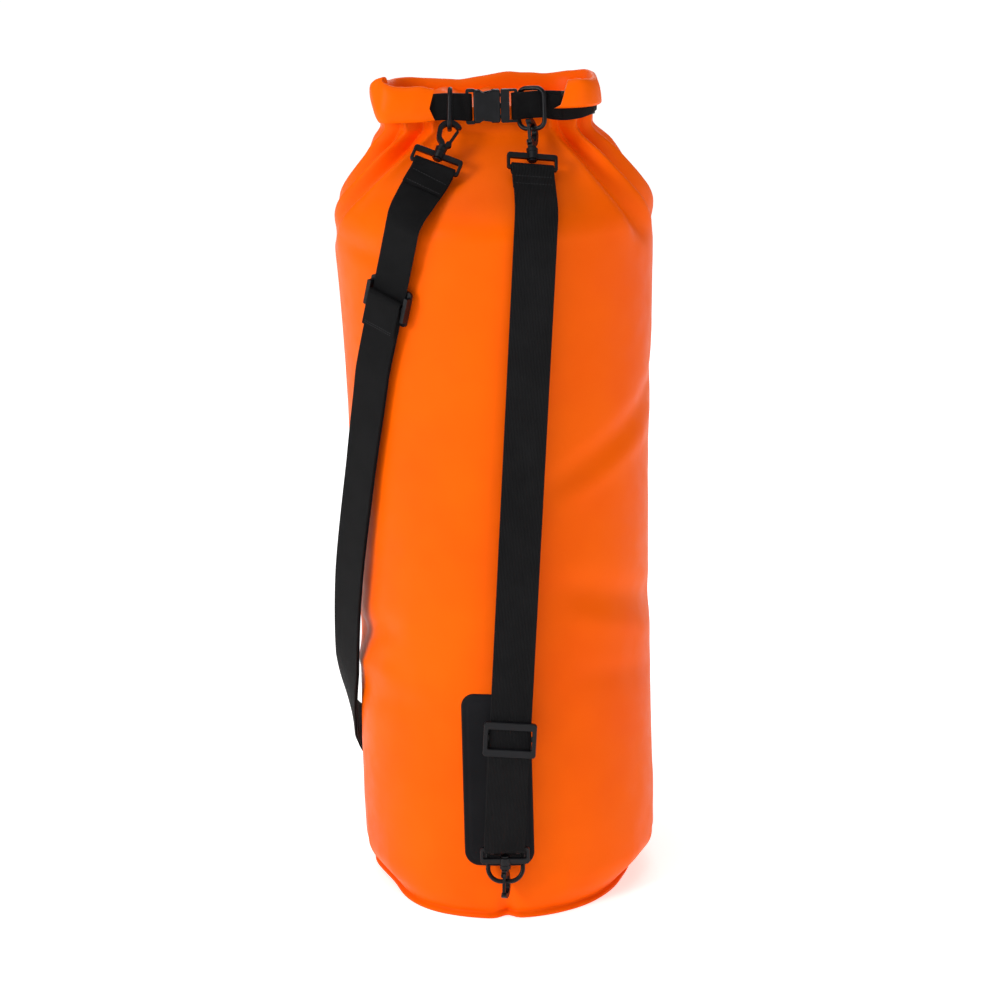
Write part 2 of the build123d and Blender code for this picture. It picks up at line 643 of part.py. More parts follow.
# Right strap: straight down the front, its slider near the bottom
right_shoulder = Vector(38.5, -163.0, 688.0)
front = outward(FRONT_ANCHOR_DEG)
right_top = at_bar(HOOK_RIGHT, 1)
right_bottom = at_bar(HOOK_FRONT, 1)
right_stations = [right_top, (right_shoulder, front, None), right_bottom]
strap("right", right_stations, webbing_loop(HOOK_RIGHT, 1), webbing_loop(HOOK_FRONT, 1))

right_run = (right_shoulder - right_bottom[0]).normalized()
right_face = (front - right_run * front.dot(right_run)).normalized()
right_slider_at = between(right_bottom[0], right_shoulder, 0.18)
slider("slider_right", Plane(right_slider_at, x_dir=right_run.cross(right_face), z_dir=right_face))
right_return_end = right_slider_at - right_run * (SLIDER_MIDDLE_BAR / 2 + RETURN_END_GAP)
right_return_end = (right_return_end - right_face * RETURN_OFFSET, right_face, None)
strap_return("right", [at_bar(HOOK_FRONT, -1), right_return_end])

# Left strap: down the left front, hanging clear of the side, and round to the lower side hook
left_out = outward(231)
left_shoulder = Vector(-84, -142, 690)
left_flat = Vector(-117.5, -109.5, 550)
left_hanging = [
    (Vector(-134, -86, 450), outward(224)),
    (Vector(-152, -56, 330), outward(222)),
    (Vector(-159, -28, 230), outward(216)),
    (Vector(-158, 12, 168), outward(196)),
    (Vector(-150, 56, 132), outward(165)),
    (Vector(-142, 83, 106), outward(149)),
]
left_stations = [at_bar(HOOK_LEFT, 1), (left_shoulder, left_out, None), (left_flat, left_out, None)]
left_stations += [(centre, facing, None) for centre, facing in left_hanging]
left_stations += [at_bar(HOOK_SIDE, -1)]
strap("left", left_stations, webbing_loop(HOOK_LEFT, 1), webbing_loop(HOOK_SIDE, -1))

left_run = (left_shoulder - left_flat).normalized()
left_face = (left_out - left_run * left_out.dot(left_run)).normalized()
left_slider_at = between(left_flat, left_shoulder, 0.48)
slider("slider_left", Plane(left_slider_at, x_dir=left_run.cross(left_face), z_dir=left_face * -1))
left_return_end = left_slider_at - left_run * (SLIDER_MIDDLE_BAR / 2 + RETURN_END_GAP)
left_return = [(left_return_end + left_face * RETURN_OFFSET, left_face, None)]
left_return += [(left_flat + left_face * RETURN_OFFSET, left_face, None)]
left_return += [(centre + facing * RETURN_OFFSET, facing, None) for centre, facing in left_hanging]
left_return += [at_bar(HOOK_SIDE, 1)]
strap_return("left", left_return)
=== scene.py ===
import json
from math import atan2, cos, pi, radians, sin

import bmesh
import bpy
import numpy as np
from mathutils import Matrix, Vector, noise


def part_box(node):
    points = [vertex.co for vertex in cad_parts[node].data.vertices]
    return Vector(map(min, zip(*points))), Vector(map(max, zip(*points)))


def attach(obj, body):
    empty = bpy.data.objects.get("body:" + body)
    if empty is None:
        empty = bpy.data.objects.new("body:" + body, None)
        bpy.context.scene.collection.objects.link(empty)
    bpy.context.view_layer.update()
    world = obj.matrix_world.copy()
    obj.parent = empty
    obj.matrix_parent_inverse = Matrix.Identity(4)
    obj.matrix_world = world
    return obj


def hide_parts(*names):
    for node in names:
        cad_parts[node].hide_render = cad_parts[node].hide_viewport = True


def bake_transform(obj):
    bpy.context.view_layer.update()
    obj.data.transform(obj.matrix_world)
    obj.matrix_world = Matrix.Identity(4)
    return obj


# A roll-top dry bag. The moulded parts keep their CAD shapes, and the soft pieces are built round them.
# Metres, +Z up, -Y the side with the buckle.

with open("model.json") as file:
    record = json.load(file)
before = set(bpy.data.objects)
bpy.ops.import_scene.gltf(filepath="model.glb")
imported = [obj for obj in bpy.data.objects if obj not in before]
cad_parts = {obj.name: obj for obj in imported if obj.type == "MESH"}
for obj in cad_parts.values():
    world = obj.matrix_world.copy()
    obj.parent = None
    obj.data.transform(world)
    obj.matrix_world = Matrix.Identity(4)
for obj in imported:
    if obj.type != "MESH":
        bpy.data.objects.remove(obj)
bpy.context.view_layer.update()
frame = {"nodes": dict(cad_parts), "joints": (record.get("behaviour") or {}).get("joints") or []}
nodes = frame["nodes"]
joints = {joint["name"]: joint for joint in frame["joints"]}

FRONT = radians(270)
SHOULDER_Z = 0.690
ROLL_Z = 0.770
ROLL_TOP = 0.812
STRAP_WIDTH = 0.040
STRAP_THICKNESS = 0.0016
BAR_BELOW_PIN = 0.01525
LOOP_RADIUS = 0.0038
STITCH_LIFT = 0.0001
HEM_STITCH_HALF = 0.0175
RETURN_GAP = 0.0024

# The right strap's turning point at the shoulder, and the left slider's place on its strap
RIGHT_SHOULDER = np.array([0.0385, -0.1630, 0.688])
LEFT_SLIDER = np.array([-0.10142, -0.1251, 0.6172])
LEFT_FACE = 231.0

# The right strap's inner layers lie a little to the left of the outer one
END_LEAN = np.array([-0.0012, 0.0, 0.0])


# ---- Materials


def new_material(name, color, roughness, **sockets):
    """A Principled material and its node tree."""
    material = bpy.data.materials.new(name)
    material.use_nodes = True
    shader = material.node_tree.nodes["Principled BSDF"]
    shader.inputs["Base Color"].default_value = (*color, 1)
    shader.inputs["Roughness"].default_value = roughness
    for socket, value in sockets.items():
        shader.inputs[socket.replace("_", " ")].default_value = value
    return material, material.node_tree, shader


def node(tree, kind, **values):
    """A shader node with some of its sockets or properties set."""
    made = tree.nodes.new(kind)
    for key, value in values.items():
        if key in made.inputs:
            made.inputs[key].default_value = value
        else:
            setattr(made, key, value)
    return made


def noise_factor(tree, scale, detail):
    """Noise in object space, whose pattern is in metres."""
    place = node(tree, "ShaderNodeTexCoord")
    texture = node(tree, "ShaderNodeTexNoise", Scale=scale, Detail=detail)
    tree.links.new(place.outputs["Object"], texture.inputs["Vector"])
    return texture.outputs["Fac"]


def ramp(tree, factor, low, high, start=0.35, end=0.65):
    """A colour that runs from low to high as factor goes from start to end."""
    made = node(tree, "ShaderNodeValToRGB")
    stops = made.color_ramp.elements
    stops[0].position, stops[0].color = start, (*low, 1)
    stops[1].position, stops[1].color = end, (*high, 1)
    tree.links.new(factor, made.inputs["Fac"])
    return made.outputs["Color"]


def remap(tree, factor, low, high):
    """A number that runs from low to high as factor goes from 0.3 to 0.7."""
    sockets = {"From Min": 0.3, "From Max": 0.7, "To Min": low, "To Max": high}
    made = node(tree, "ShaderNodeMapRange", **sockets)
    tree.links.new(factor, made.inputs["Value"])
    return made.outputs["Result"]


def add_bumps(tree, shader, layers):
    """Chains bump nodes, one for each (height, strength, distance)."""
    normal = None
    for height, strength, distance in layers:
        bump = node(tree, "ShaderNodeBump", Strength=strength, Distance=distance)
        tree.links.new(height, bump.inputs["Height"])
        if normal is not None:
            tree.links.new(normal, bump.inputs["Normal"])
        normal = bump.outputs["Normal"]
    tree.links.new(normal, shader.inputs["Normal"])


def wave(tree, axis, scale):
    """A sine wave across one axis of the UV map."""
    place = node(tree, "ShaderNodeTexCoord")
    made = node(tree, "ShaderNodeTexWave", bands_direction=axis, Scale=scale)
    tree.links.new(place.outputs["UV"], made.inputs["Vector"])
    return made.outputs["Fac"]


def multiply(tree, a, b):
    """The product of two node outputs."""
    made = node(tree, "ShaderNodeMath", operation="MULTIPLY")
    tree.links.new(a, made.inputs[0])
    tree.links.new(b, made.inputs[1])
    return made.outputs[0]


def tarpaulin_material(name, low, high, roughness):
    """Coated tarpaulin: faint scrim under a satin coating, with slow colour drift and small scuffs."""
    material, tree, shader = new_material(name, high, roughness, Specular_IOR_Level=0.4, IOR=1.16)
    drift = noise_factor(tree, 7.0, 3.0)
    tree.links.new(ramp(tree, drift, low, high, 0.3, 0.6), shader.inputs["Base Color"])
    scuffs = noise_factor(tree, 60.0, 6.0)
    tree.links.new(remap(tree, scuffs, roughness - 0.05, roughness + 0.07), shader.inputs["Roughness"])
    scrim = multiply(tree, wave(tree, "X", 520.0), wave(tree, "Y", 520.0))
    grain = noise_factor(tree, 900.0, 2.0)
    crumple = noise_factor(tree, 26.0, 5.0)
    add_bumps(tree, shader, [(crumple, 0.16, 0.003), (scrim, 0.05, 0.0004), (grain, 0.06, 0.0003)])
    return material


def webbing_material(name, low, high, ribs_across):
    """Woven webbing: ribs along its length, fine picks across, and a little dust."""
    material, tree, shader = new_material(name, high, 0.7, Specular_IOR_Level=0.15)
    dust = noise_factor(tree, 38.0, 5.0)
    tree.links.new(ramp(tree, dust, low, high, 0.3, 0.75), shader.inputs["Base Color"])
    ribs = wave(tree, "X", ribs_across)
    picks = wave(tree, "Y", 330.0)
    fuzz = noise_factor(tree, 1400.0, 2.0)
    add_bumps(tree, shader, [(ribs, 0.9, 0.0012), (picks, 0.45, 0.0004), (fuzz, 0.2, 0.0002)])
    return material


def moulded_material(name, color, roughness):
    """Moulded acetal: satin, with a fine spark texture and rubbed patches."""
    material, tree, shader = new_material(name, color, roughness, Specular_IOR_Level=0.24)
    rub = noise_factor(tree, 90.0, 4.0)
    lighter = tuple(channel * 1.7 + 0.002 for channel in color)
    tree.links.new(ramp(tree, rub, color, lighter, 0.45, 0.75), shader.inputs["Base Color"])
    tree.links.new(remap(tree, rub, roughness - 0.07, roughness + 0.1), shader.inputs["Roughness"])
    add_bumps(tree, shader, [(noise_factor(tree, 1800.0, 2.0), 0.12, 0.0002)])
    return material


def plain_textured(name, color, roughness, scale, strength):
    """A simple surface with a fine grain, for thread, cut edges and strips."""
    material, tree, shader = new_material(name, color, roughness)
    grain = noise_factor(tree, scale, 3.0)
    darker = tuple(channel * 0.75 for channel in color)
    tree.links.new(ramp(tree, grain, darker, color), shader.inputs["Base Color"])
    add_bumps(tree, shader, [(grain, strength, 0.0003)])
    return material


TARPAULIN = tarpaulin_material("tarpaulin", (0.95, 0.104, 0.0), (1.0, 0.128, 0.0), 0.42)
TARPAULIN_EDGE = plain_textured("tarpaulin_cut_edge", (1.0, 0.42, 0.2), 0.7, 900.0, 0.2)
PATCH_SKIN = tarpaulin_material("patch_fabric", (0.006, 0.006, 0.007), (0.011, 0.011, 0.013), 0.4)
WEBBING = webbing_material("webbing_ribbed", (0.0035, 0.0035, 0.0042), (0.0075, 0.0075, 0.0085), 9.0)
WEBBING_FINE = webbing_material("webbing_fine", (0.0035, 0.0035, 0.0042), (0.008, 0.008, 0.009), 16.0)
HARDWARE = moulded_material("moulded_acetal", (0.0020, 0.0022, 0.0034), 0.38)
THREAD = plain_textured("thread", (0.03, 0.03, 0.033), 0.8, 2500.0, 0.4)
STRIP = plain_textured("stiffener_strip", (0.05, 0.05, 0.05), 0.5, 700.0, 0.2)


# ---- Mesh helpers


def make_object(name, points, faces, materials, uvs=None, face_materials=None):
    """A smooth-shaded mesh object from points, faces and one UV per point."""
    mesh = bpy.data.meshes.new(name)
    mesh.from_pydata([tuple(map(float, point)) for point in points], [], faces)
    for material in materials:
        mesh.materials.append(material)
    mesh.polygons.foreach_set("use_smooth", [True] * len(mesh.polygons))
    if face_materials is not None:
        mesh.polygons.foreach_set("material_index", face_materials)
    if uvs is not None:
        layer = mesh.uv_layers.new(name="weave")
        corners = np.empty(len(mesh.loops), int)
        mesh.loops.foreach_get("vertex_index", corners)
        layer.data.foreach_set("uv", np.asarray(uvs, np.float32)[corners].ravel())
    mesh.update()
    return add_object(name, mesh)


def add_object(name, data):
    """A new object in the scene."""
    made = bpy.data.objects.new(name, data)
    bpy.context.scene.collection.objects.link(made)
    return made


def face_outwards(obj):
    """Makes the normals of a closed mesh agree and point outwards."""
    work = bmesh.new()
    work.from_mesh(obj.data)
    bmesh.ops.recalc_face_normals(work, faces=work.faces)
    work.to_mesh(obj.data)
    work.free()


def shade_sharp(obj, angle):
    """Keeps edges sharper than angle crisp in shading."""
    obj.data.set_sharp_from_angle(angle=radians(angle))


def grid_faces(rows, columns, wrap=True):
    """Quads between points laid out row by row, each row closed on itself if it wraps."""
    faces = []
    for row in range(rows - 1):
        for column in range(columns if wrap else columns - 1):
            a, b = row * columns + column, row * columns + (column + 1) % columns
            faces.append((a, b, b + columns, a + columns))
    return faces


def end_caps(rows, columns):
    """The two faces that close a tube of rows."""
    last = (rows - 1) * columns
    return [tuple(reversed(range(columns))), tuple(last + i for i in range(columns))]


def ease(value):
    """A smooth step from 0 to 1."""
    value = np.clip(value, 0, 1)
    return value * value * (3 - 2 * value)


def bell(value):
    """A bell curve, 1 at 0."""
    return np.exp(-(value**2))


def signed_power(values, power):
    """Values raised to a power, with their signs kept."""
    return np.sign(values) * np.abs(values) ** power


def wrap_angle(angle):
    """An angle brought between -pi and pi."""
    return (angle + pi) % (2 * pi) - pi


def fractal(points, scale, seed):
    """Smooth noise at each point, the same on each run."""
    shift = Vector((seed * 7.3, seed * 3.1, seed * 5.7))
    return np.array([noise.noise(Vector(point) * scale + shift) for point in points])


def curve_through(stations, samples):
    """Points of a Catmull-Rom curve through the stations, evenly spread by length."""
    stations = np.asarray(stations, float)
    first = 2 * stations[0] - stations[1]
    last = 2 * stations[-1] - stations[-2]
    held = np.vstack([first, stations, last])
    fine = []
    for i in range(1, len(held) - 2):
        p0, p1, p2, p3 = held[i - 1 : i + 3]
        for t in np.linspace(0, 1, 40, endpoint=False):
            a = 2 * p1 + (p2 - p0) * t
            b = (2 * p0 - 5 * p1 + 4 * p2 - p3) * t * t
            c = (3 * p1 - 3 * p2 + p3 - p0) * t * t * t
            fine.append((a + b + c) / 2)
    fine.append(held[-2])
    return respace(np.array(fine), samples)


def travelled(points):
    """The distance along a line at each of its points."""
    return np.concatenate([[0], np.cumsum(np.linalg.norm(np.diff(points, axis=0), axis=1))])


def interp_rows(at, marks, rows):
    """Rows read off between their marks."""
    return np.stack([np.interp(at, marks, column) for column in rows.T], axis=1)


def respace(points, samples):
    """The same line with its points evenly spaced."""
    length = travelled(points)
    even = np.linspace(0, length[-1], samples)
    return interp_rows(even, length, points)


def unit(vectors):
    """The vectors scaled to length 1."""
    vectors = np.asarray(vectors, float)
    return vectors / np.linalg.norm(vectors, axis=-1, keepdims=True)


# ---- Bag skin

TUBE_PROFILE = [
    (0.146, 0.008), (0.149, 0.022), (0.1497, 0.045), (0.150, 0.090), (0.148, 0.200),
    (0.1465, 0.340), (0.1495, 0.470), (0.153, 0.590), (0.157, 0.690),
]
WALL_LOW = 0.008
SKIN_COLUMNS = 420

# Half width, middle of the depth, half depth and squareness of the outline at each height of the neck
NECK_OUTLINES = [
    (0.690, 0.1570, 0.0, 0.1570, 2.0),
    (0.706, 0.1475, 0.0, 0.1345, 2.1),
    (0.722, 0.1350, -0.0005, 0.1125, 2.3),
    (0.737, 0.1230, -0.001, 0.0905, 2.6),
    (0.752, 0.1110, -0.006, 0.0690, 2.7),
    (0.7685, 0.0965, -0.0115, 0.0490, 2.7),
]

# Creases of the gathered neck: angle at the roll and at the shoulder, rise in mm, width in degrees
NECK_CREASES = [
    (248, 208, 10.5, 3.8), (239, 196, -16.0, 5.0), (229, 186, 9.5, 4.4),
    (217, 178, -12.0, 5.0), (205, 168, 7.0, 6.0), (192, 160, -5.5, 6.0),
    (293, 320, 9.0, 3.6), (301, 329, -16.0, 4.8), (311, 340, 10.0, 4.2),
    (321, 350, -12.0, 4.8), (334, 362, 6.5, 5.6), (349, 377, -6.5, 6.0),
    (4, 22, 5.5, 5.6), (20, 33, -7.0, 5.2), (36, 45, 5.5, 4.6),
    (50, 55, -7.0, 4.8), (65, 66, 6.0, 4.6), (79, 77, -7.5, 4.8),
    (93, 91, 6.5, 4.2), (106, 106, -7.0, 4.8), (119, 119, 5.5, 4.6),
    (132, 131, -7.5, 4.8), (147, 141, 6.0, 5.2), (162, 150, -6.5, 5.6),
    (176, 156, 5.5, 5.6),
]

# Dents of the side wall: angle and height where each starts and ends, rise in mm, width in mm
WALL_DENTS = [
    (292, 0.445, 352, 0.515, -3.6, 15), (296, 0.425, 350, 0.480, 1.8, 12),
    (294, 0.335, 356, 0.292, -4.2, 17), (300, 0.300, 350, 0.262, 1.6, 12),
    (300, 0.245, 345, 0.225, -2.0, 14), (184, 0.262, 222, 0.285, -6.0, 15),
    (186, 0.236, 220, 0.240, 2.6, 10), (192, 0.205, 232, 0.215, -2.2, 12),
    (206, 0.664, 242, 0.650, -2.4, 10), (20, 0.520, 92, 0.470, -3.5, 18),
    (34, 0.350, 98, 0.395, -3.2, 18), (84, 0.235, 150, 0.275, -3.6, 17),
    (112, 0.560, 168, 0.520, -3.4, 17), (104, 0.430, 160, 0.400, 1.8, 14),
    (30, 0.180, 90, 0.150, -2.2, 15), (48, 0.640, 110, 0.655, -2.6, 12),
    (150, 0.395, 196, 0.420, -3.2, 16),
]

# Where each welded patch lies, and where the ring and hook on it face: angle in degrees
PATCH_ANGLES = {"front": 265.7, "side": 146.0}
ANCHOR_ANGLES = {"front": 268.0, "side": 146.0}
PATCH_LOW = 0.057
PATCH_HIGH = 0.234
PATCH_HALF = 0.0345


def wall_radius(z):
    """Outer radius of the stuffed tube at a height, smoothed along the height."""
    heights = np.arange(-0.05, 0.76, 0.002)
    profile_radii, profile_heights = zip(*TUBE_PROFILE)
    radii = np.interp(heights, profile_heights, profile_radii)
    window = np.hanning(21)
    smoothed = np.convolve(np.pad(radii, 10, mode="edge"), window / window.sum(), mode="valid")
    blend = ease((heights - 0.03) / 0.04)
    return np.interp(z, heights, radii * (1 - blend) + smoothed * blend)


def toe_factor(angles, z):
    """The stuffed bottom is rounded in at its right and left, and full at the front."""
    turn = np.degrees(wrap_angle(angles - FRONT))
    drawn = 0.17 * bell((turn - 75) / 42) + 0.13 * bell((turn + 70) / 25)
    drawn += 0.05 * bell((np.abs(turn) - 155) / 18)
    drawn += 0.055 * bell((turn + 2) / 3.2)
    return 1 - drawn * (1 - ease(z / 0.045)) ** 1.5


def outline(angles, z):
    """Points of the skin's outline at one height, before any crease."""
    if z <= SHOULDER_Z - 0.030:
        radius = wall_radius(z) * toe_factor(angles, z)
        return np.stack([radius * np.cos(angles), radius * np.sin(angles)], axis=1)
    below = np.arange(0.61, SHOULDER_Z - 0.009, 0.008)
    heights = list(below) + [row[0] for row in NECK_OUTLINES]
    rows = [(wall_radius(low), 0.0, wall_radius(low), 2.0) for low in below]
    rows += [row[1:] for row in NECK_OUTLINES]
    # The shoulder turns over gently, so each height takes the mean of its neighbourhood
    near = np.linspace(z - 0.016, z + 0.016, 13)
    near = np.minimum(near, 2 * heights[-1] - near)
    half_width, middle, half_depth, squareness = (
        np.mean(np.interp(near, heights, [row[i] for row in rows])) for i in range(4)
    )
    power = 2 / squareness
    across, depth = signed_power(np.cos(angles), power), signed_power(np.sin(angles), power)
    return np.stack([half_width * across, middle + half_depth * depth], axis=1)


def ridge(distance):
    """A crease's section: a rounded crest with quick sides."""
    return np.exp(-(np.abs(distance) ** 1.5))


def patch_shield(angles, z):
    """1 away from the welded patches and 0 over them, where the wall keeps its plain radius."""
    shield = np.ones_like(angles)
    height = ease((z - PATCH_LOW + 0.045) / 0.03) * ease((PATCH_HIGH + 0.045 - z) / 0.03)
    for angle in PATCH_ANGLES.values():
        distance = np.abs(wrap_angle(angles - radians(angle))) * 0.15
        shield *= 1 - height * (1 - ease((distance - PATCH_HALF - 0.004) / 0.03))
    return shield


def skin_rise(angles, z):
    """How far creases and dents lift the skin at one height, in metres."""
    rise = np.zeros_like(angles)
    share = (z - SHOULDER_Z) / (ROLL_Z - SHOULDER_Z)
    reach = ease((z - 0.648) / 0.045)
    if reach > 0:
        spiral = (1 - min(max(share, -0.7), 1.0)) ** 0.85
        for top, bottom, height, width in NECK_CREASES:
            middle = radians(top + (bottom - top) * spiral)
            spread = radians(width * (1.0 + 0.9 * (1 - max(share, -0.5))))
            rise += reach * height * 0.001 * ridge(wrap_angle(angles - middle) / spread)
        rise *= 1 - 0.45 * ease((z - 0.748) / 0.02)
        # The front panel between the two straps stays smooth and tight
        front = np.abs(wrap_angle(angles - FRONT))
        rise *= 0.10 + 0.90 * ease((front - radians(15)) / radians(13))
        # The neck is drawn in under the right arm of the roll and swells under the left one
        drawn_in = bell(min(z - 0.768, 0) / 0.011)
        rise -= 0.0085 * drawn_in * bell(wrap_angle(angles) / radians(38))
        swollen = bell((z - 0.757) / 0.009)
        rise += 0.0045 * swollen * bell(wrap_angle(angles - pi) / radians(30))
    for start, low, end, high, height, width in WALL_DENTS:
        along = wrap_angle(angles - radians(start)) / radians(end - start)
        fade = ease((along + 0.25) / 0.45) * ease((1.25 - along) / 0.45)
        middle = low + (high - low) * np.clip(along, -0.3, 1.3)
        rise += height * 0.001 * fade * bell((z - middle) / (width * 0.001))
    return rise


def skin_point_rise(angles, z, plain):
    """The whole rise at one height, with the stuffed wall's slow waves."""
    points = np.column_stack([plain, np.full(len(angles), z)])
    waves = 0.0016 * fractal(points * (1, 1, 0.6), 9.0, 1) + 0.0005 * fractal(points, 34.0, 2)
    waves *= ease((z - 0.02) / 0.05)
    folds_low = -0.0016 * ease((0.10 - z) / 0.07) * np.abs(np.sin(angles * 9 + 1.3 * np.sin(angles * 4)))
    folds_low *= ease((z - 0.010) / 0.02)
    return (skin_rise(angles, z) + waves + folds_low) * patch_shield(angles, z)


def skin_row(angles, z):
    """Points of the finished skin at one height."""
    plain = outline(angles, z)
    ahead = np.roll(plain, -1, axis=0) - np.roll(plain, 1, axis=0)
    normals = unit(np.stack([ahead[:, 1], -ahead[:, 0]], axis=1))
    lifted = plain + normals * skin_point_rise(angles, z, plain)[:, None]
    return np.column_stack([lifted, np.full(len(angles), z)])


def build_skin():
    """The bag's wall, neck and the gathered cloth under the roll, as one closed-topped surface."""
    angles = np.linspace(0, 2 * pi, SKIN_COLUMNS, endpoint=False)
    toe = [(0.1492, 0.0012), (0.1496, 0.0024), (0.1478, 0.0034), (0.1452, 0.0042), (0.1446, 0.0058)]
    rows, heights = [], []
    for radius, z in toe:
        reach = radius * toe_factor(angles, 0.0)
        ring = np.column_stack([reach * np.cos(angles), reach * np.sin(angles), np.full(SKIN_COLUMNS, z)])
        ring[:, 2] += 0.0003 * np.sin(angles * 23) * (z > 0.002)
        rows.append(ring)
        heights.append(z)
    for z in np.concatenate([np.arange(WALL_LOW, 0.62, 0.0042), np.arange(0.62, 0.7686, 0.0018)]):
        rows.append(skin_row(angles, z))
        heights.append(z)
    # Between the arms of the roll the front cloth runs on upwards, then back to the middle of the roll
    rim = rows[-1]
    open_front = ease((0.062 - np.abs(rim[:, 0])) / 0.026) * (rim[:, 1] < -0.03)
    # It also runs up inside the roll at the right and, less, at the back
    right = ease((rim[:, 0] - 0.060) / 0.020)
    back = ease((rim[:, 1] - 0.010) / 0.020)
    for share in np.linspace(0.2, 1.0, 9):
        lifted = rim.copy()
        lifted[:, 0] += right * 0.0060 * share**2
        lifted[:, 1] += open_front * 0.0050 * share**2 + 0.0002 * share
        lifted[:, 2] += (open_front * 0.0135 + right * 0.0130 + back * 0.0040 + 0.0080) * share
        rows.append(lifted)
        heights.append(ROLL_Z + 0.02 * share)
    rim = rows[-1]
    centre = np.array([0.0, -0.006, 0.0])
    for share in np.concatenate([[0.012, 0.03], np.linspace(0.06, 1.0, 26)]):
        inward = rim + (centre - rim) * share
        depth = ease((inward[:, 1] + 0.060) / 0.095)
        slope = 0.787 + 0.010 * depth + 0.0026 * fractal(inward * (1, 1, 0), 30.0, 5)
        slope += 0.0022 * np.sin(inward[:, 0] * 150 + 2.4 * np.sin(inward[:, 1] * 70)) * depth
        slope -= 0.020 * ease((np.abs(inward[:, 0]) - 0.055) / 0.030)
        inward[:, 2] = rim[:, 2] + (slope - rim[:, 2]) * ease(share * 3.2)
        rows.append(inward)
        heights.append(ROLL_Z + 0.02 + share * 0.08)
    points = np.vstack(rows)
    turns = np.tile(angles / (2 * pi), len(rows))
    uvs = np.column_stack([turns * 0.94, np.repeat(heights, SKIN_COLUMNS)])
    skin = make_object("bag_skin", points, grid_faces(len(rows), SKIN_COLUMNS), [TARPAULIN], uvs)
    thicken(skin, 0.0009)
    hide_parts("bag_tube")
    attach(skin, "root")


def thicken(obj, thickness):
    """Gives a surface its cloth thickness, inwards, as part of its mesh."""
    modifier = obj.modifiers.new("thickness", "SOLIDIFY")
    modifier.thickness = thickness
    modifier.offset = -1
    evaluated = obj.evaluated_get(bpy.context.evaluated_depsgraph_get())
    final = bpy.data.meshes.new_from_object(evaluated)
    obj.modifiers.clear()
    old = obj.data
    obj.data = final
    bpy.data.meshes.remove(old)
    final.name = obj.name


def build_base_panel():
    """The round base panel, with its welded flange on the edge."""
    section = [
        (0.0, 0.0008), (0.060, 0.0008), (0.120, 0.0005), (0.138, 0.0), (0.1478, 0.0),
        (0.1489, 0.0002), (0.1493, 0.0007), (0.1489, 0.0011), (0.138, 0.0012), (0.120, 0.0016),
        (0.060, 0.0019), (0.0, 0.0019),
    ]
    columns = 240
    angles = np.linspace(0, 2 * pi, columns, endpoint=False)
    rows = []
    for radius, z in section:
        wobble = 1 + 0.0009 * np.sin(angles * 17) * (radius > 0.13)
        reach = max(radius, 0.0004) * wobble * toe_factor(angles, 0.0)
        x, y = reach * np.cos(angles), reach * np.sin(angles)
        rows.append(np.column_stack([x, y, np.full(columns, z)]))
    points = np.vstack(rows)
    faces = grid_faces(len(rows), columns) + end_caps(len(rows), columns)
    panel = make_object("base_panel_disc", points, faces, [TARPAULIN], points[:, :2])
    face_outwards(panel)
    shade_sharp(panel, 50)
    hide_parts("base_panel")
    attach(panel, "root")


# ---- Rolled mouth

ROLL_CORNERS = [
    ((-0.052, -0.0815), None),
    ((-0.1050, -0.0830), 0.009),
    ((-0.098, 0.040), 0.042),
    ((0.098, 0.040), 0.042),
    ((0.098, -0.080), 0.028),
    ((0.058, -0.080), None),
]
ROLL_STEPS = 230
ROLL_TURNS = 2.7
ROLL_HALF_HIGH = 0.0204


def rounded_route(corners, samples):
    """A line through corners, each rounded by its radius, with evenly spaced points."""
    points = [np.array(corners[0][0])]
    for (before, _), (corner, radius), (after, _) in zip(corners, corners[1:], corners[2:]):
        before, corner, after = np.array(before), np.array(corner), np.array(after)
        back, on = unit(before - corner), unit(after - corner)
        centre = corner + (back + on) * radius
        start, end = corner + back * radius, corner + on * radius
        first = atan2(*(start - centre)[::-1])
        sweep = wrap_angle(atan2(*(end - centre)[::-1]) - first)
        for t in np.linspace(0, 1, 16):
            angle = first + sweep * t
            points.append(centre + radius * np.array([cos(angle), sin(angle)]))
    points.append(np.array(corners[-1][0]))
    return respace(np.array(points), samples)


def roll_section():
    """The wound section of the roll: across and up, from its outer flap to its innermost turn."""
    turn = np.linspace(0, 2 * pi * ROLL_TURNS, 150)
    half_thick = 0.0076 - 0.0018 * turn / (2 * pi)
    half_high = ROLL_HALF_HIGH - 0.0027 * turn / (2 * pi)
    start = -pi / 2 - 0.5
    across = half_thick * signed_power(np.cos(start - turn), 0.9)
    up = half_high * signed_power(np.sin(start - turn), 0.95)
    return np.column_stack([across, up])


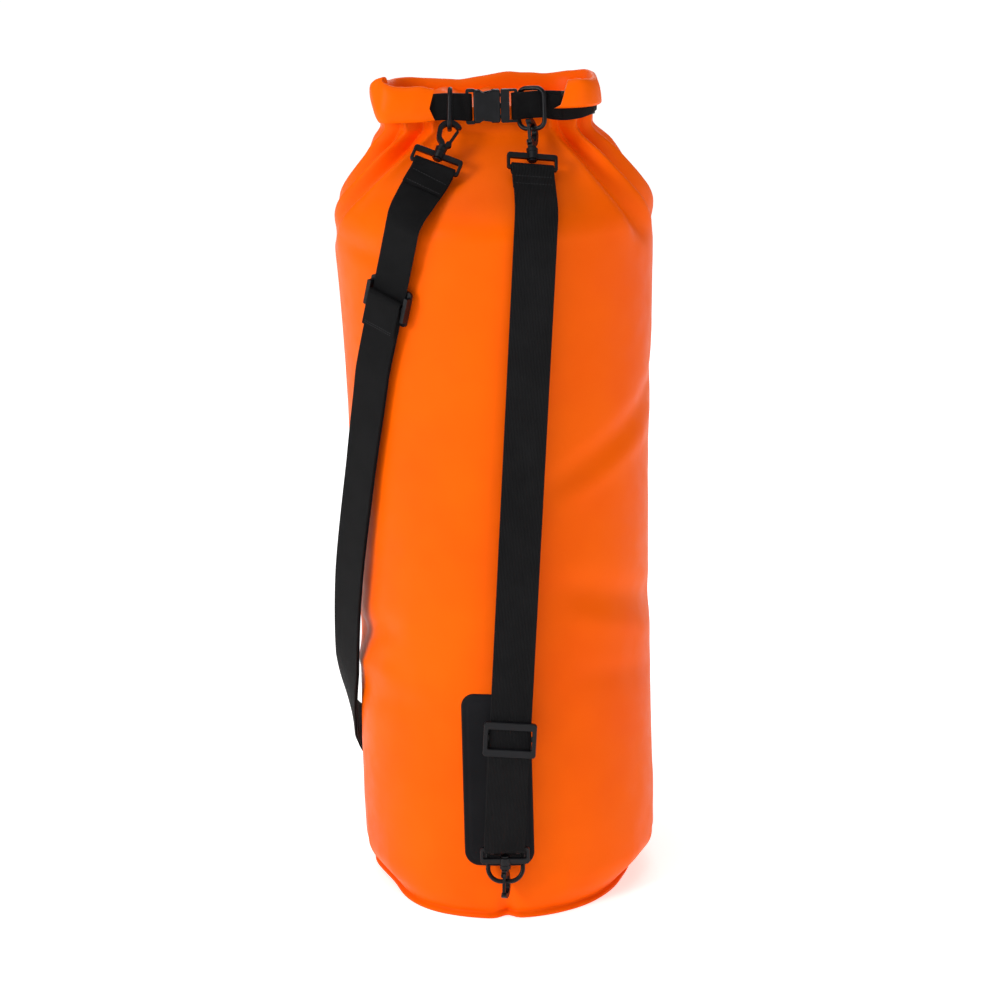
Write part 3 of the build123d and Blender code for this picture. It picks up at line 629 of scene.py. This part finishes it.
def build_roll():
    """The mouth, wound down on itself and bent into a C, as one long thin wound sheet."""
    route = rounded_route(ROLL_CORNERS, ROLL_STEPS)
    along = unit(np.gradient(route, axis=0))
    outward = np.column_stack([along[:, 1], -along[:, 0]])
    centreline = roll_section()
    tangent = unit(np.gradient(centreline, axis=0))
    normal = np.column_stack([-tangent[:, 1], tangent[:, 0]])
    half_sheet = 0.00048
    section = np.vstack([centreline + normal * half_sheet, (centreline - normal * half_sheet)[::-1]])
    middle_z = (ROLL_Z + ROLL_TOP) / 2
    level = section[:, 1] / ROLL_HALF_HIGH
    rows = []
    for i in range(ROLL_STEPS):
        share = i / (ROLL_STEPS - 1)
        place = np.array([*route[i] * 11, 0.0])
        from_right = 1 - share
        swell = 1 + 0.10 * noise.noise(Vector(place * 2.3 + 4))
        lean = 0.10 * noise.noise(Vector(place * 1.1 + 9))
        # The left arm's end is pulled down to a blunt point where the webbing leaves it
        pinch = 1 - 0.10 * ease((0.03 - share) / 0.03)
        flat = 1 - 0.15 * ease((0.04 - share) / 0.04)
        # The left arm folds sharply, with its top corner standing up and out
        ear = bell((share - 0.112) / 0.022)
        # The right arm rides up over the webbing, so its lower edge is higher
        raised = ease((0.26 - from_right) / 0.10)
        # The back of the roll dips in its middle and stands up at the right
        crest = -0.0042 * bell((share - 0.455) / 0.060)
        crest += 0.0022 * bell((share - 0.56) / 0.05) + 0.0032 * ease((share - 0.66) / 0.06)
        crest += 0.0013 * noise.noise(Vector((share * 30.0, 3.0, 0.5)))
        up = section[:, 1] * pinch
        top_share = np.clip(up / ROLL_HALF_HIGH, 0, 1)
        bottom_share = np.clip(-up / ROLL_HALF_HIGH, 0, 1)
        tip = bell((share - 0.104) / 0.013)
        up = up + top_share * (crest + 0.0030 * ear + 0.0050 * tip)
        up = up + bottom_share * (0.0062 + 0.0105 * raised)
        across = section[:, 0] * swell * flat * (1 - 0.25 * ear)
        across = across + up * lean
        across = across + (ear * 0.0030 + tip * 0.0085) * top_share - tip * bottom_share * 0.0025
        x = route[i, 0] + outward[i, 0] * across
        y = route[i, 1] + outward[i, 1] * across
        # The front left corner is pulled out to a point at its top and tucked in at its bottom
        corner = ease((-0.086 - x) / 0.016) * ease((-0.040 - y) / 0.025)
        x = x - corner * (0.0065 * top_share - 0.0030 * bottom_share)
        up = up + corner * top_share**2 * 0.0035
        # The ends: a notch at the left one, a slant at the right one
        x = x - 0.0055 * (1 - np.abs(level)) * ease((0.07 - share) / 0.07)
        x = x + 0.0075 * (1 + level) * ease((0.10 - from_right) / 0.10)
        rows.append(np.column_stack([x, y, middle_z + up]))
    points = np.vstack(rows)
    columns = len(section)
    faces = grid_faces(ROLL_STEPS, columns)
    half = columns // 2
    last = (ROLL_STEPS - 1) * columns
    marks = [0] * len(faces)
    for i in range(half - 1):
        a, b, c, d = i, i + 1, columns - 2 - i, columns - 1 - i
        faces.append((a, b, c, d))
        faces.append((last + d, last + c, last + b, last + a))
        marks += [1, 1]
    distance = np.linspace(0, 0.46, ROLL_STEPS)
    round_sheet = np.tile(np.linspace(0, 0.3, columns), ROLL_STEPS)
    uvs = np.column_stack([round_sheet, np.repeat(distance, columns)])
    roll = make_object("rolled_mouth_sheet", points, faces, [TARPAULIN, TARPAULIN_EDGE], uvs, marks)
    face_outwards(roll)
    shade_sharp(roll, 60)
    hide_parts("rolled_mouth")
    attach(roll, "root")


# ---- Webbing


def band_section(width, thickness):
    """A flat band's section with rounded edges: across and out."""
    half, round_off = width / 2, thickness / 2
    across = np.linspace(-half + round_off, half - round_off, 13)
    top = np.column_stack([across, np.full(13, round_off)])
    bottom = top[::-1] * (1, -1)
    turn = np.linspace(pi / 2, -pi / 2, 5)[1:-1]
    right = np.column_stack([half - round_off + round_off * np.cos(turn), round_off * np.sin(turn)])
    left = right[::-1] * (-1, 1)
    return np.vstack([top, right, bottom, left])


def build_band(name, centres, outs, width, thickness, material, across=None):
    """A woven band along its centres with its ends closed. It faces outs, or lies along across."""
    centres = np.asarray(centres, float)
    along = unit(np.gradient(centres, axis=0))
    if across is None:
        outs = unit(outs - along * np.sum(outs * along, axis=1, keepdims=True))
        side = np.cross(outs, along)
    else:
        side = np.tile(unit(across), (len(centres), 1))
        outs = unit(np.cross(along, side))
    section = band_section(width, thickness)
    rows = [centres[i] + section[:, :1] * side[i] + section[:, 1:] * outs[i] for i in range(len(centres))]
    points = np.vstack(rows)
    columns = len(section)
    faces = grid_faces(len(rows), columns) + end_caps(len(rows), columns)
    lengths = np.repeat(travelled(centres), columns)
    uvs = np.column_stack([np.tile(section[:, 0] / STRAP_WIDTH, len(rows)), lengths])
    band = make_object(name, points, faces, [material], uvs)
    face_outwards(band)
    shade_sharp(band, 55)
    return band


def stitch_row(surface, side, half, out):
    """One row of stitches across the webbing: its start, its end and its outward direction."""
    return surface - side * half, surface + side * half, out


def build_stitches(name, rows, body):
    """Rows of stitches, each stitch a short rounded bar on the webbing."""
    points, faces = [], []
    for start, end, out in rows:
        length = np.linalg.norm(end - start)
        along, out = unit(end - start), unit(out)
        side = np.cross(out, along)
        count = max(2, int(length / 0.0026))
        for i in range(count):
            middle = start + along * length * (i + 0.5) / count
            base = len(points)
            for step, size in ((-0.5, 0.35), (-0.3, 1.0), (0.3, 1.0), (0.5, 0.35)):
                for angle in np.linspace(0, 2 * pi, 6, endpoint=False):
                    ring = side * cos(angle) + out * sin(angle)
                    points.append(middle + along * step * 0.0019 + ring * 0.00026 * size)
            for k in range(3):
                for j in range(6):
                    a, b = base + k * 6 + j, base + k * 6 + (j + 1) % 6
                    faces.append((a, b, b + 6, a + 6))
            faces += [tuple(base + j for j in cap) for cap in end_caps(4, 6)]
    made = make_object(name, points, faces, [THREAD])
    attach(made, body)


class Hook:
    """A snap hook's own axes: its tip from its swivel joint, and the side or face its flat base shows."""

    def __init__(self, name, across=None, out=None):
        joint = joints[f"hook_{name}_swivel"]
        self.pin = np.array(joint["pos_m"])
        self.tip = unit(joint["axis"])
        if out is None:
            self.across = self.square_to_tip(across)
            self.out = np.cross(self.across, self.tip)
        else:
            self.out = self.square_to_tip(out)
            self.across = np.cross(self.tip, self.out)
        self.bar = self.pin - self.tip * BAR_BELOW_PIN

    def square_to_tip(self, direction):
        """A direction with its part along the tip taken out."""
        direction = np.asarray(direction, float)
        return unit(direction - self.tip * np.dot(direction, self.tip))

    def turn(self, first, last, samples=14):
        """The webbing's middle line round the bar, from one angle to another, 0 being the bar's front."""
        angles = np.radians(np.linspace(first, last, samples))
        offsets = [cos(angle) * self.out + sin(angle) * self.tip for angle in angles]
        return self.bar + LOOP_RADIUS * np.array(offsets)


def radial(angle):
    """The horizontal direction at an angle in degrees about the bag's axis."""
    return np.array([cos(radians(angle)), sin(radians(angle)), 0.0])


HOOKS = {
    "upper_left": Hook("upper_left", across=(1, 0, -0.22)),
    "upper_right": Hook("upper_right", across=(1, 0, -0.32)),
    "lower_front": Hook("lower_front", out=radial(ANCHOR_ANGLES["front"])),
    "lower_side": Hook("lower_side", out=radial(ANCHOR_ANGLES["side"])),
}


def hem_leg(centres, outs, length, side):
    """The sewn-back layer that lies on the main layer, from the turn to its cut end."""
    marks = travelled(centres)
    steps = np.linspace(0, length, 22)
    place, facing = interp_rows(steps, marks, centres), interp_rows(steps, marks, outs)
    gap = 0.00175 + (2 * LOOP_RADIUS - 0.00175) * (1 - ease(steps / 0.011))
    return place + unit(facing) * (gap * side)[:, None], facing


def hem_stitch_row(point, ahead, facing):
    """A row of stitches on the outer face of a strap's hem, at a point of its middle line."""
    along = unit(ahead)
    out = unit(facing - along * np.dot(facing, along))
    surface = point + out * (STRAP_THICKNESS / 2 + STITCH_LIFT)
    return stitch_row(surface, np.cross(out, along), HEM_STITCH_HALF, out)


def facing_along(centres, stations):
    """The outward direction at each point, blended between (height, direction) stations."""
    heights = [height for height, _ in stations]
    order = np.argsort(heights)
    heights = np.array(heights)[order]
    directions = np.array([direction for _, direction in stations])[order]
    return unit(interp_rows(centres[:, 2], heights, directions))


def slider_frame(name):
    """A slider's middle and its direction along the webbing, from its CAD box and joint."""
    low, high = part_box(name)
    return np.array((low + high) / 2), unit(joints[f"{name}_slide"]["axis"])


def right_strap_foot():
    """Where the right strap leaves the lower hook's bar."""
    lower = HOOKS["lower_front"]
    return lower.bar + lower.out * 0.00365 - lower.tip * 0.0055


def right_slider_bar(out):
    """The middle of the right slider's bar, and the direction of the strap there."""
    middle, run = slider_frame("slider_right")
    foot = right_strap_foot()
    share = (middle[2] - foot[2]) / (RIGHT_SHOULDER[2] - foot[2])
    return foot + (RIGHT_SHOULDER - foot) * share - out * RETURN_GAP, run


def build_right_strap():
    """The right shoulder strap, its hem at the upper hook and its turn at the lower one."""
    upper, lower = HOOKS["upper_right"], HOOKS["lower_front"]
    start = upper.bar + upper.out * LOOP_RADIUS
    shoulder, bottom = RIGHT_SHOULDER, right_strap_foot()
    run = unit(bottom - shoulder)
    over = [start, start - upper.tip * 0.0055, shoulder + np.array([0.001, 0.012, 0.0165])]
    turn_over = curve_through(over + [shoulder + run * 0.012], 26)
    straight = shoulder + run * np.linspace(0.016, np.linalg.norm(bottom - shoulder), 130)[:, None]
    main = np.vstack([turn_over, straight])
    front = radial(ANCHOR_ANGLES["front"])
    outs = facing_along(main, [(0.716, upper.out), (0.684, front)])
    hem, hem_outs = hem_leg(main, outs, 0.026, -1)
    top_turn = upper.turn(180, 0)
    turn_outs = unit(top_turn - upper.bar)
    low_turn = lower.turn(0, 180)
    low_outs = unit(low_turn - lower.bar)
    centres = np.vstack([hem[::-1], top_turn[1:], main[1:], low_turn[1:]])
    facings = np.vstack([-hem_outs[::-1], turn_outs[1:], outs[1:], low_outs[1:]])
    strap = build_band("shoulder_strap_right", centres, facings, STRAP_WIDTH, STRAP_THICKNESS, WEBBING)
    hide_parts("strap_right")
    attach(strap, "root")
    places = [int(np.searchsorted(travelled(main)[1:], distance)) for distance in (0.013, 0.0225)]
    rows = [hem_stitch_row(main[i], main[i + 1] - main[i], outs[i]) for i in places]
    build_stitches("stitches_strap_right_hem", rows, "root")


def build_right_return():
    """The return layer of the right strap, from the lower hook to the slider's middle bar."""
    lower = HOOKS["lower_front"]
    out = radial(ANCHOR_ANGLES["front"])
    bar, run = right_slider_bar(out)
    start = lower.bar - lower.out * LOOP_RADIUS
    behind = bar - out * 0.0026
    leaning = behind + END_LEAN
    stations = [start, start - lower.tip * 0.008, leaning - run * 0.030, leaning - run * 0.003]
    centres = np.vstack([curve_through(stations, 46), [leaning]])
    outs = np.tile(out, (len(centres), 1))
    layer = build_band(
        "strap_return_right_layer", centres, outs, STRAP_WIDTH, STRAP_THICKNESS * 0.95, WEBBING
    )
    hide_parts("strap_return_right")
    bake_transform(layer)


# The left strap down the bag's side: a point, then which way its return layer lies from it
LEFT_RUN = [
    (-0.1175, -0.1095, 0.5500, -0.63, -0.77),
    (-0.1225, -0.1025, 0.5200, -0.65, -0.76),
    (-0.1340, -0.0860, 0.4500, -0.72, -0.70),
    (-0.1520, -0.0560, 0.3300, -0.74, -0.67),
    (-0.1590, -0.0280, 0.2300, -0.81, -0.59),
    (-0.1580, 0.0120, 0.1680, -0.96, -0.28),
    (-0.1505, 0.0555, 0.1320, -0.97, 0.26),
    (-0.1420, 0.0830, 0.1060, -0.86, 0.51),
]

# Its facing below the slider: height and angle in degrees
LEFT_FACINGS = [
    (0.540, LEFT_FACE),
    (0.450, 224),
    (0.330, 222),
    (0.230, 216),
    (0.168, 196),
    (0.132, 165),
    (0.106, 149),
    (0.080, 146),
]


def left_slider_axes():
    """The outward direction at the left slider, and the direction of the strap there."""
    _, run = slider_frame("slider_left")
    face = radial(LEFT_FACE)
    return unit(face - run * np.dot(face, run)), run


def build_left_strap():
    """The left shoulder strap, hanging clear of the side, with its sewn hem in front at the top."""
    upper, lower = HOOKS["upper_left"], HOOKS["lower_side"]
    start = upper.bar - upper.out * LOOP_RADIUS
    route = [
        start,
        start - upper.tip * 0.006 + upper.out * 0.001,
        (-0.0700, -0.1310, 0.7150),
        (-0.0788, -0.1398, 0.7020),
        (-0.0840, -0.1420, 0.6900),
        (-0.0864, -0.1397, 0.6800),
        (-0.0921, -0.1341, 0.6560),
        (-0.1014, -0.1251, 0.6172),
        (-0.1095, -0.1173, 0.5835),
        *[row[:3] for row in LEFT_RUN],
        lower.bar - lower.out * LOOP_RADIUS - lower.tip * 0.006,
        lower.bar - lower.out * LOOP_RADIUS,
    ]
    main = curve_through(route, 210)
    stations = [
        (0.728, upper.out),
        (0.708, unit(0.45 * upper.out + 0.55 * radial(LEFT_FACE))),
        (0.690, radial(LEFT_FACE)),
    ]
    stations += [(height, radial(angle)) for height, angle in LEFT_FACINGS]
    outs = facing_along(main, stations)
    hem, hem_outs = hem_leg(main, outs, 0.027, 1)
    top_turn = upper.turn(0, 180)
    top_outs = unit(top_turn - upper.bar)
    low_turn = lower.turn(180, 0)
    low_outs = unit(low_turn - lower.bar)
    centres = np.vstack([hem[::-1], top_turn[1:], main[1:], low_turn[1:]])
    facings = np.vstack([hem_outs[::-1], top_outs[1:], -outs[1:], low_outs[1:]])
    strap = build_band(
        "shoulder_strap_left", centres, facings, STRAP_WIDTH, STRAP_THICKNESS, WEBBING_FINE
    )
    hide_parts("strap_left")
    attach(strap, "root")
    rows = [hem_stitch_row(hem[i], hem[i] - hem[i - 1], hem_outs[i]) for i in (9, 19)]
    build_stitches("stitches_strap_left_hem", rows, "root")


def build_left_return():
    """The return layer of the left strap, in front of it, sewn round the slider's middle bar."""
    lower = HOOKS["lower_side"]
    out, run = left_slider_axes()
    web = LEFT_SLIDER
    route = [
        web + out * 0.0050 - run * 0.0005,
        web + out * 0.0046 - run * 0.006,
        web + out * 0.0030 - run * 0.020,
        *[(x + RETURN_GAP * off_x, y + RETURN_GAP * off_y, z) for x, y, z, off_x, off_y in LEFT_RUN],
        lower.bar + lower.out * LOOP_RADIUS - lower.tip * 0.006,
        lower.bar + lower.out * LOOP_RADIUS,
    ]
    layer = curve_through(route, 190)
    outs = facing_along(layer, [(height, radial(angle)) for height, angle in LEFT_FACINGS])
    made = build_band(
        "strap_return_left_layer", layer, outs, STRAP_WIDTH * 0.995, STRAP_THICKNESS * 0.95, WEBBING_FINE
    )
    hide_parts("strap_return_left")
    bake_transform(made)


def build_slider_ends():
    """The webbing's end, folded over each slider's middle bar and sewn to itself."""
    out = radial(ANCHOR_ANGLES["front"])
    bar, run = right_slider_bar(out)
    bar = bar + END_LEAN
    turn = [
        bar - out * 0.0013 + 0.0036 * (-out * cos(a) + run * sin(a) * 0.9)
        for a in np.radians(np.linspace(-20, 95, 10))
    ]
    leg = [bar - out * 0.0052 - run * d for d in (0.002, 0.006, 0.012, 0.020, 0.028)]
    line = respace(np.vstack([leg[::-1], turn]), 34)
    side = np.cross(run, out)
    end = build_band("strap_end_right", line, None, STRAP_WIDTH, 0.0013, WEBBING, side)
    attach(end, "slider_right")

    out, run = left_slider_axes()
    side = np.cross(out, run)
    web = LEFT_SLIDER
    fold = [web + out * 0.0062 - run * d for d in (0.030, 0.024, 0.016, 0.008, 0.002)]
    over = [
        web + out * (0.0032 + 0.0030 * cos(a)) + run * (0.0015 + 0.0042 * sin(a))
        for a in np.radians(np.linspace(15, 120, 9))
    ]
    line = respace(np.vstack([fold, over]), 36)
    end = build_band("strap_end_left", line, None, STRAP_WIDTH, 0.0013, WEBBING_FINE, side)
    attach(end, "slider_left")
    rows = []
    for distance in (0.0255, 0.0275):
        surface = web + out * (0.0062 + 0.00075) - run * distance
        rows.append(stitch_row(surface, side, 0.0172, out))
    build_stitches("stitches_slider_left", rows, "slider_left")


def build_closure_webbing():
    """The two ends of the closure webbing, from the roll to the buckle's bars."""
    y, z = -0.083, 0.7915
    turn_radius = 0.0038
    angles = np.radians(np.linspace(0, 178, 14))[1:-1]
    # How far from the bar's middle the two layers lie as they close up away from it
    layers = [(d, 0.0010 + 0.0028 * (1 - min(d / 0.010, 1))) for d in (0.002, 0.006, 0.012)]
    for name, roll_x, bar_x, side in (("left", -0.058, -0.0218, -1), ("right", 0.066, 0.0238, 1)):
        halfway = (roll_x + bar_x + side * 0.012) / 2
        line = [(roll_x, y - 0.0010), (halfway, y - 0.0011)]
        line += [(bar_x + side * d, y - gap) for d, gap in reversed(layers)]
        line += [(bar_x - side * turn_radius * sin(a), y - turn_radius * cos(a)) for a in angles]
        line += [(bar_x + side * d, y + gap) for d, gap in layers]
        line += [(halfway, y + 0.0009), (roll_x - side * 0.006, y + 0.0010)]
        line = respace(np.array(line), 90)
        sag = 0.0006 * np.sin(np.linspace(0, 9, len(line)))
        centres = np.column_stack([line, z + sag])
        band = build_band(f"closure_strap_{name}", centres, None, 0.025, 0.0017, WEBBING_FINE, (0, 0, 1))
        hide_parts(f"closure_webbing_{name}")
        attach(band, "root")
    # The right end goes on along the outside of the roll's arm, where it is sewn down
    route = [
        (0.0520, -0.0838, 0.7905),
        (0.0620, -0.0838, 0.7885),
        (0.0720, -0.0828, 0.7880),
        (0.0855, -0.0788, 0.7895),
        (0.0954, -0.0698, 0.7920),
        (0.0999, -0.0600, 0.7940),
    ]
    centres = curve_through(route, 50)
    along = unit(np.gradient(centres, axis=0))
    outs = unit(np.column_stack([along[:, 1], -along[:, 0], np.full(len(centres), -0.12)]))
    sewn = build_band("closure_strap_right_sewn", centres, outs, 0.0235, 0.0017, WEBBING_FINE)
    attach(sewn, "root")


def build_tab(name):
    """The webbing tab that holds a lower ring, folded round the ring's bar and sewn to the patch."""
    out = radial(ANCHOR_ANGLES[name])
    across = np.array([-out[1], out[0], 0.0])
    up = np.array([0, 0, 1.0])
    bar = out * 0.1556 + up * 0.074
    radius = 0.00295
    turn = [bar + radius * (-out * cos(a) - up * sin(a)) for a in np.radians(np.linspace(0, 180, 14))]
    inner = [bar - out * (radius + 0.0002) + up * d for d in (0.024, 0.016, 0.008, 0.002)]
    outer = [
        bar + out * (radius - t * 0.0052) + up * d
        for d, t in ((0.003, 0.1), (0.007, 0.62), (0.011, 0.83), (0.017, 0.86), (0.023, 0.86))
    ]
    line = respace(np.vstack([inner, turn, outer]), 70)
    tab = build_band(f"ring_tab_{name}_webbing", line, None, 0.0218, 0.0012, WEBBING_FINE, across)
    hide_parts(f"ring_tab_{name}")
    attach(tab, "root")
    rows = []
    for height in (0.011, 0.015, 0.0195):
        surface = bar + out * (radius - 0.86 * 0.0052 + 0.0007) + up * height
        rows.append(stitch_row(surface, across, 0.009, out))
    build_stitches(f"stitches_ring_tab_{name}", rows, "root")


def build_patch(name):
    """A welded patch on the wall: a thin rounded panel with a pressed weld line near its edge."""
    middle = radians(PATCH_ANGLES[name])
    columns, rows_count = 61, 131
    tall = (PATCH_HIGH - PATCH_LOW) / 2
    centre_z = (PATCH_HIGH + PATCH_LOW) / 2
    corner = 0.014
    points, uvs = [], []
    for v in np.linspace(-1, 1, rows_count):
        for u in np.linspace(-1, 1, columns):
            x, z, inset = rounded_point(u, v, PATCH_HALF, tall, corner)
            height = 0.00015 + 0.00115 * ease(inset / 0.0012)
            height -= 0.00045 * bell((inset - 0.0052) / 0.0011)
            height += 0.00025 * ease(inset / 0.012) * (1 + noise.noise(Vector((x * 60, z * 60, 2.0))))
            angle = middle + x / 0.150
            radius = wall_radius(centre_z + z) + height
            points.append((radius * cos(angle), radius * sin(angle), centre_z + z))
            uvs.append((x, z))
    faces = grid_faces(rows_count, columns, wrap=False)
    patch = make_object(f"patch_{name}_panel", points, faces, [PATCH_SKIN], uvs)
    thicken(patch, 0.0008)
    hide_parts(f"patch_{name}")
    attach(patch, "root")


def rounded_point(u, v, half, tall, corner):
    """A point of the unit square taken onto a rectangle with round corners, and how far in it lies."""
    x, z = u * half, v * tall
    inset = min(half - abs(x), tall - abs(z))
    over_x, over_z = abs(x) - (half - corner), abs(z) - (tall - corner)
    if over_x > 0 and over_z > 0:
        # Square rings about the corner's centre become round ones
        shrink = max(over_x, over_z) / (over_x**2 + over_z**2) ** 0.5
        x = (half - corner + over_x * shrink) * (1 if x > 0 else -1)
        z = (tall - corner + over_z * shrink) * (1 if z > 0 else -1)
    return x, z, inset


# ---- Hardware


def dress_hardware():
    """Gives the moulded parts their finish."""
    soft = ("strap", "closure", "patch", "ring_tab", "bag_tube", "base_panel", "rolled_mouth")
    for name, obj in nodes.items():
        if not name.startswith(soft):
            obj.data.materials.clear()
            obj.data.materials.append(STRIP if name == "mouth_stiffener" else HARDWARE)
            shade_sharp(obj, 32)


# ---- Stage


def point_lamp(lamp, direction):
    """Turns a lamp to shine in a direction."""
    lamp.rotation_euler = direction.to_track_quat("-Z", "Y").to_euler()


def build_stage():
    """A white floor that partly lights itself, soft light from the front left, and the camera."""
    white = new_material(
        "studio_white", (0.96, 0.96, 0.96), 0.9, Emission_Color=(1, 1, 1, 1), Emission_Strength=0.55
    )[0]
    corners = [(-30, -30, 0), (30, -30, 0), (30, 30, 0), (-30, 30, 0)]
    floor = make_object("studio_floor", corners, [(0, 1, 2, 3)], [white])
    world = bpy.data.worlds.new("studio")
    world.use_nodes = True
    background = world.node_tree.nodes["Background"]
    background.inputs["Color"].default_value = (1, 1, 1, 1)
    # The backdrop shows white, but lights the bag less, so the folds stay shaded
    rays = node(world.node_tree, "ShaderNodeLightPath")
    strength = remap(world.node_tree, rays.outputs["Is Camera Ray"], 0.26, 1.0)
    world.node_tree.links.new(strength, background.inputs["Strength"])
    bpy.context.scene.world = world
    lights = [
        ("key_light", (-2.3, -1.9, 1.6), 0.9, 44),
        ("fill_light", (2.2, -2.2, 1.2), 2.2, 10),
        ("back_light", (0.6, 2.4, 2.2), 1.8, 22),
    ]
    for name, place, size, power in lights:
        data = bpy.data.lights.new(name, "AREA")
        data.size = size
        data.energy = power
        lamp = add_object(name, data)
        lamp.location = place
        point_lamp(lamp, Vector((0, 0, 0.42)) - lamp.location)
    sun = bpy.data.lights.new("soft_sun", "SUN")
    sun.angle = radians(50)
    sun.energy = 0.9
    lamp = add_object("soft_sun", sun)
    point_lamp(lamp, Vector((0.20, 0.16, -1.0)))
    data = bpy.data.cameras.new("camera")
    data.lens = 90.47
    data.sensor_width = 36
    data.shift_x = -0.0013
    camera = add_object("camera", data)
    tilt = Matrix.Rotation(radians(90 - 14.5), 4, "X")
    roll = Matrix.Rotation(radians(-1.55), 4, "Z")
    camera.matrix_world = Matrix.Translation((0, -2.45, 1.023)) @ tilt @ roll
    bpy.context.scene.camera = camera
    # A plain view of the colours keeps the saturated orange
    bpy.context.scene.view_settings.view_transform = "Standard"


build_stage()
build_skin()
build_base_panel()
build_roll()
build_right_strap()
build_right_return()
build_left_strap()
build_left_return()
build_slider_ends()
build_closure_webbing()
for anchor in PATCH_ANGLES:
    build_patch(anchor)
    build_tab(anchor)
dress_hardware()
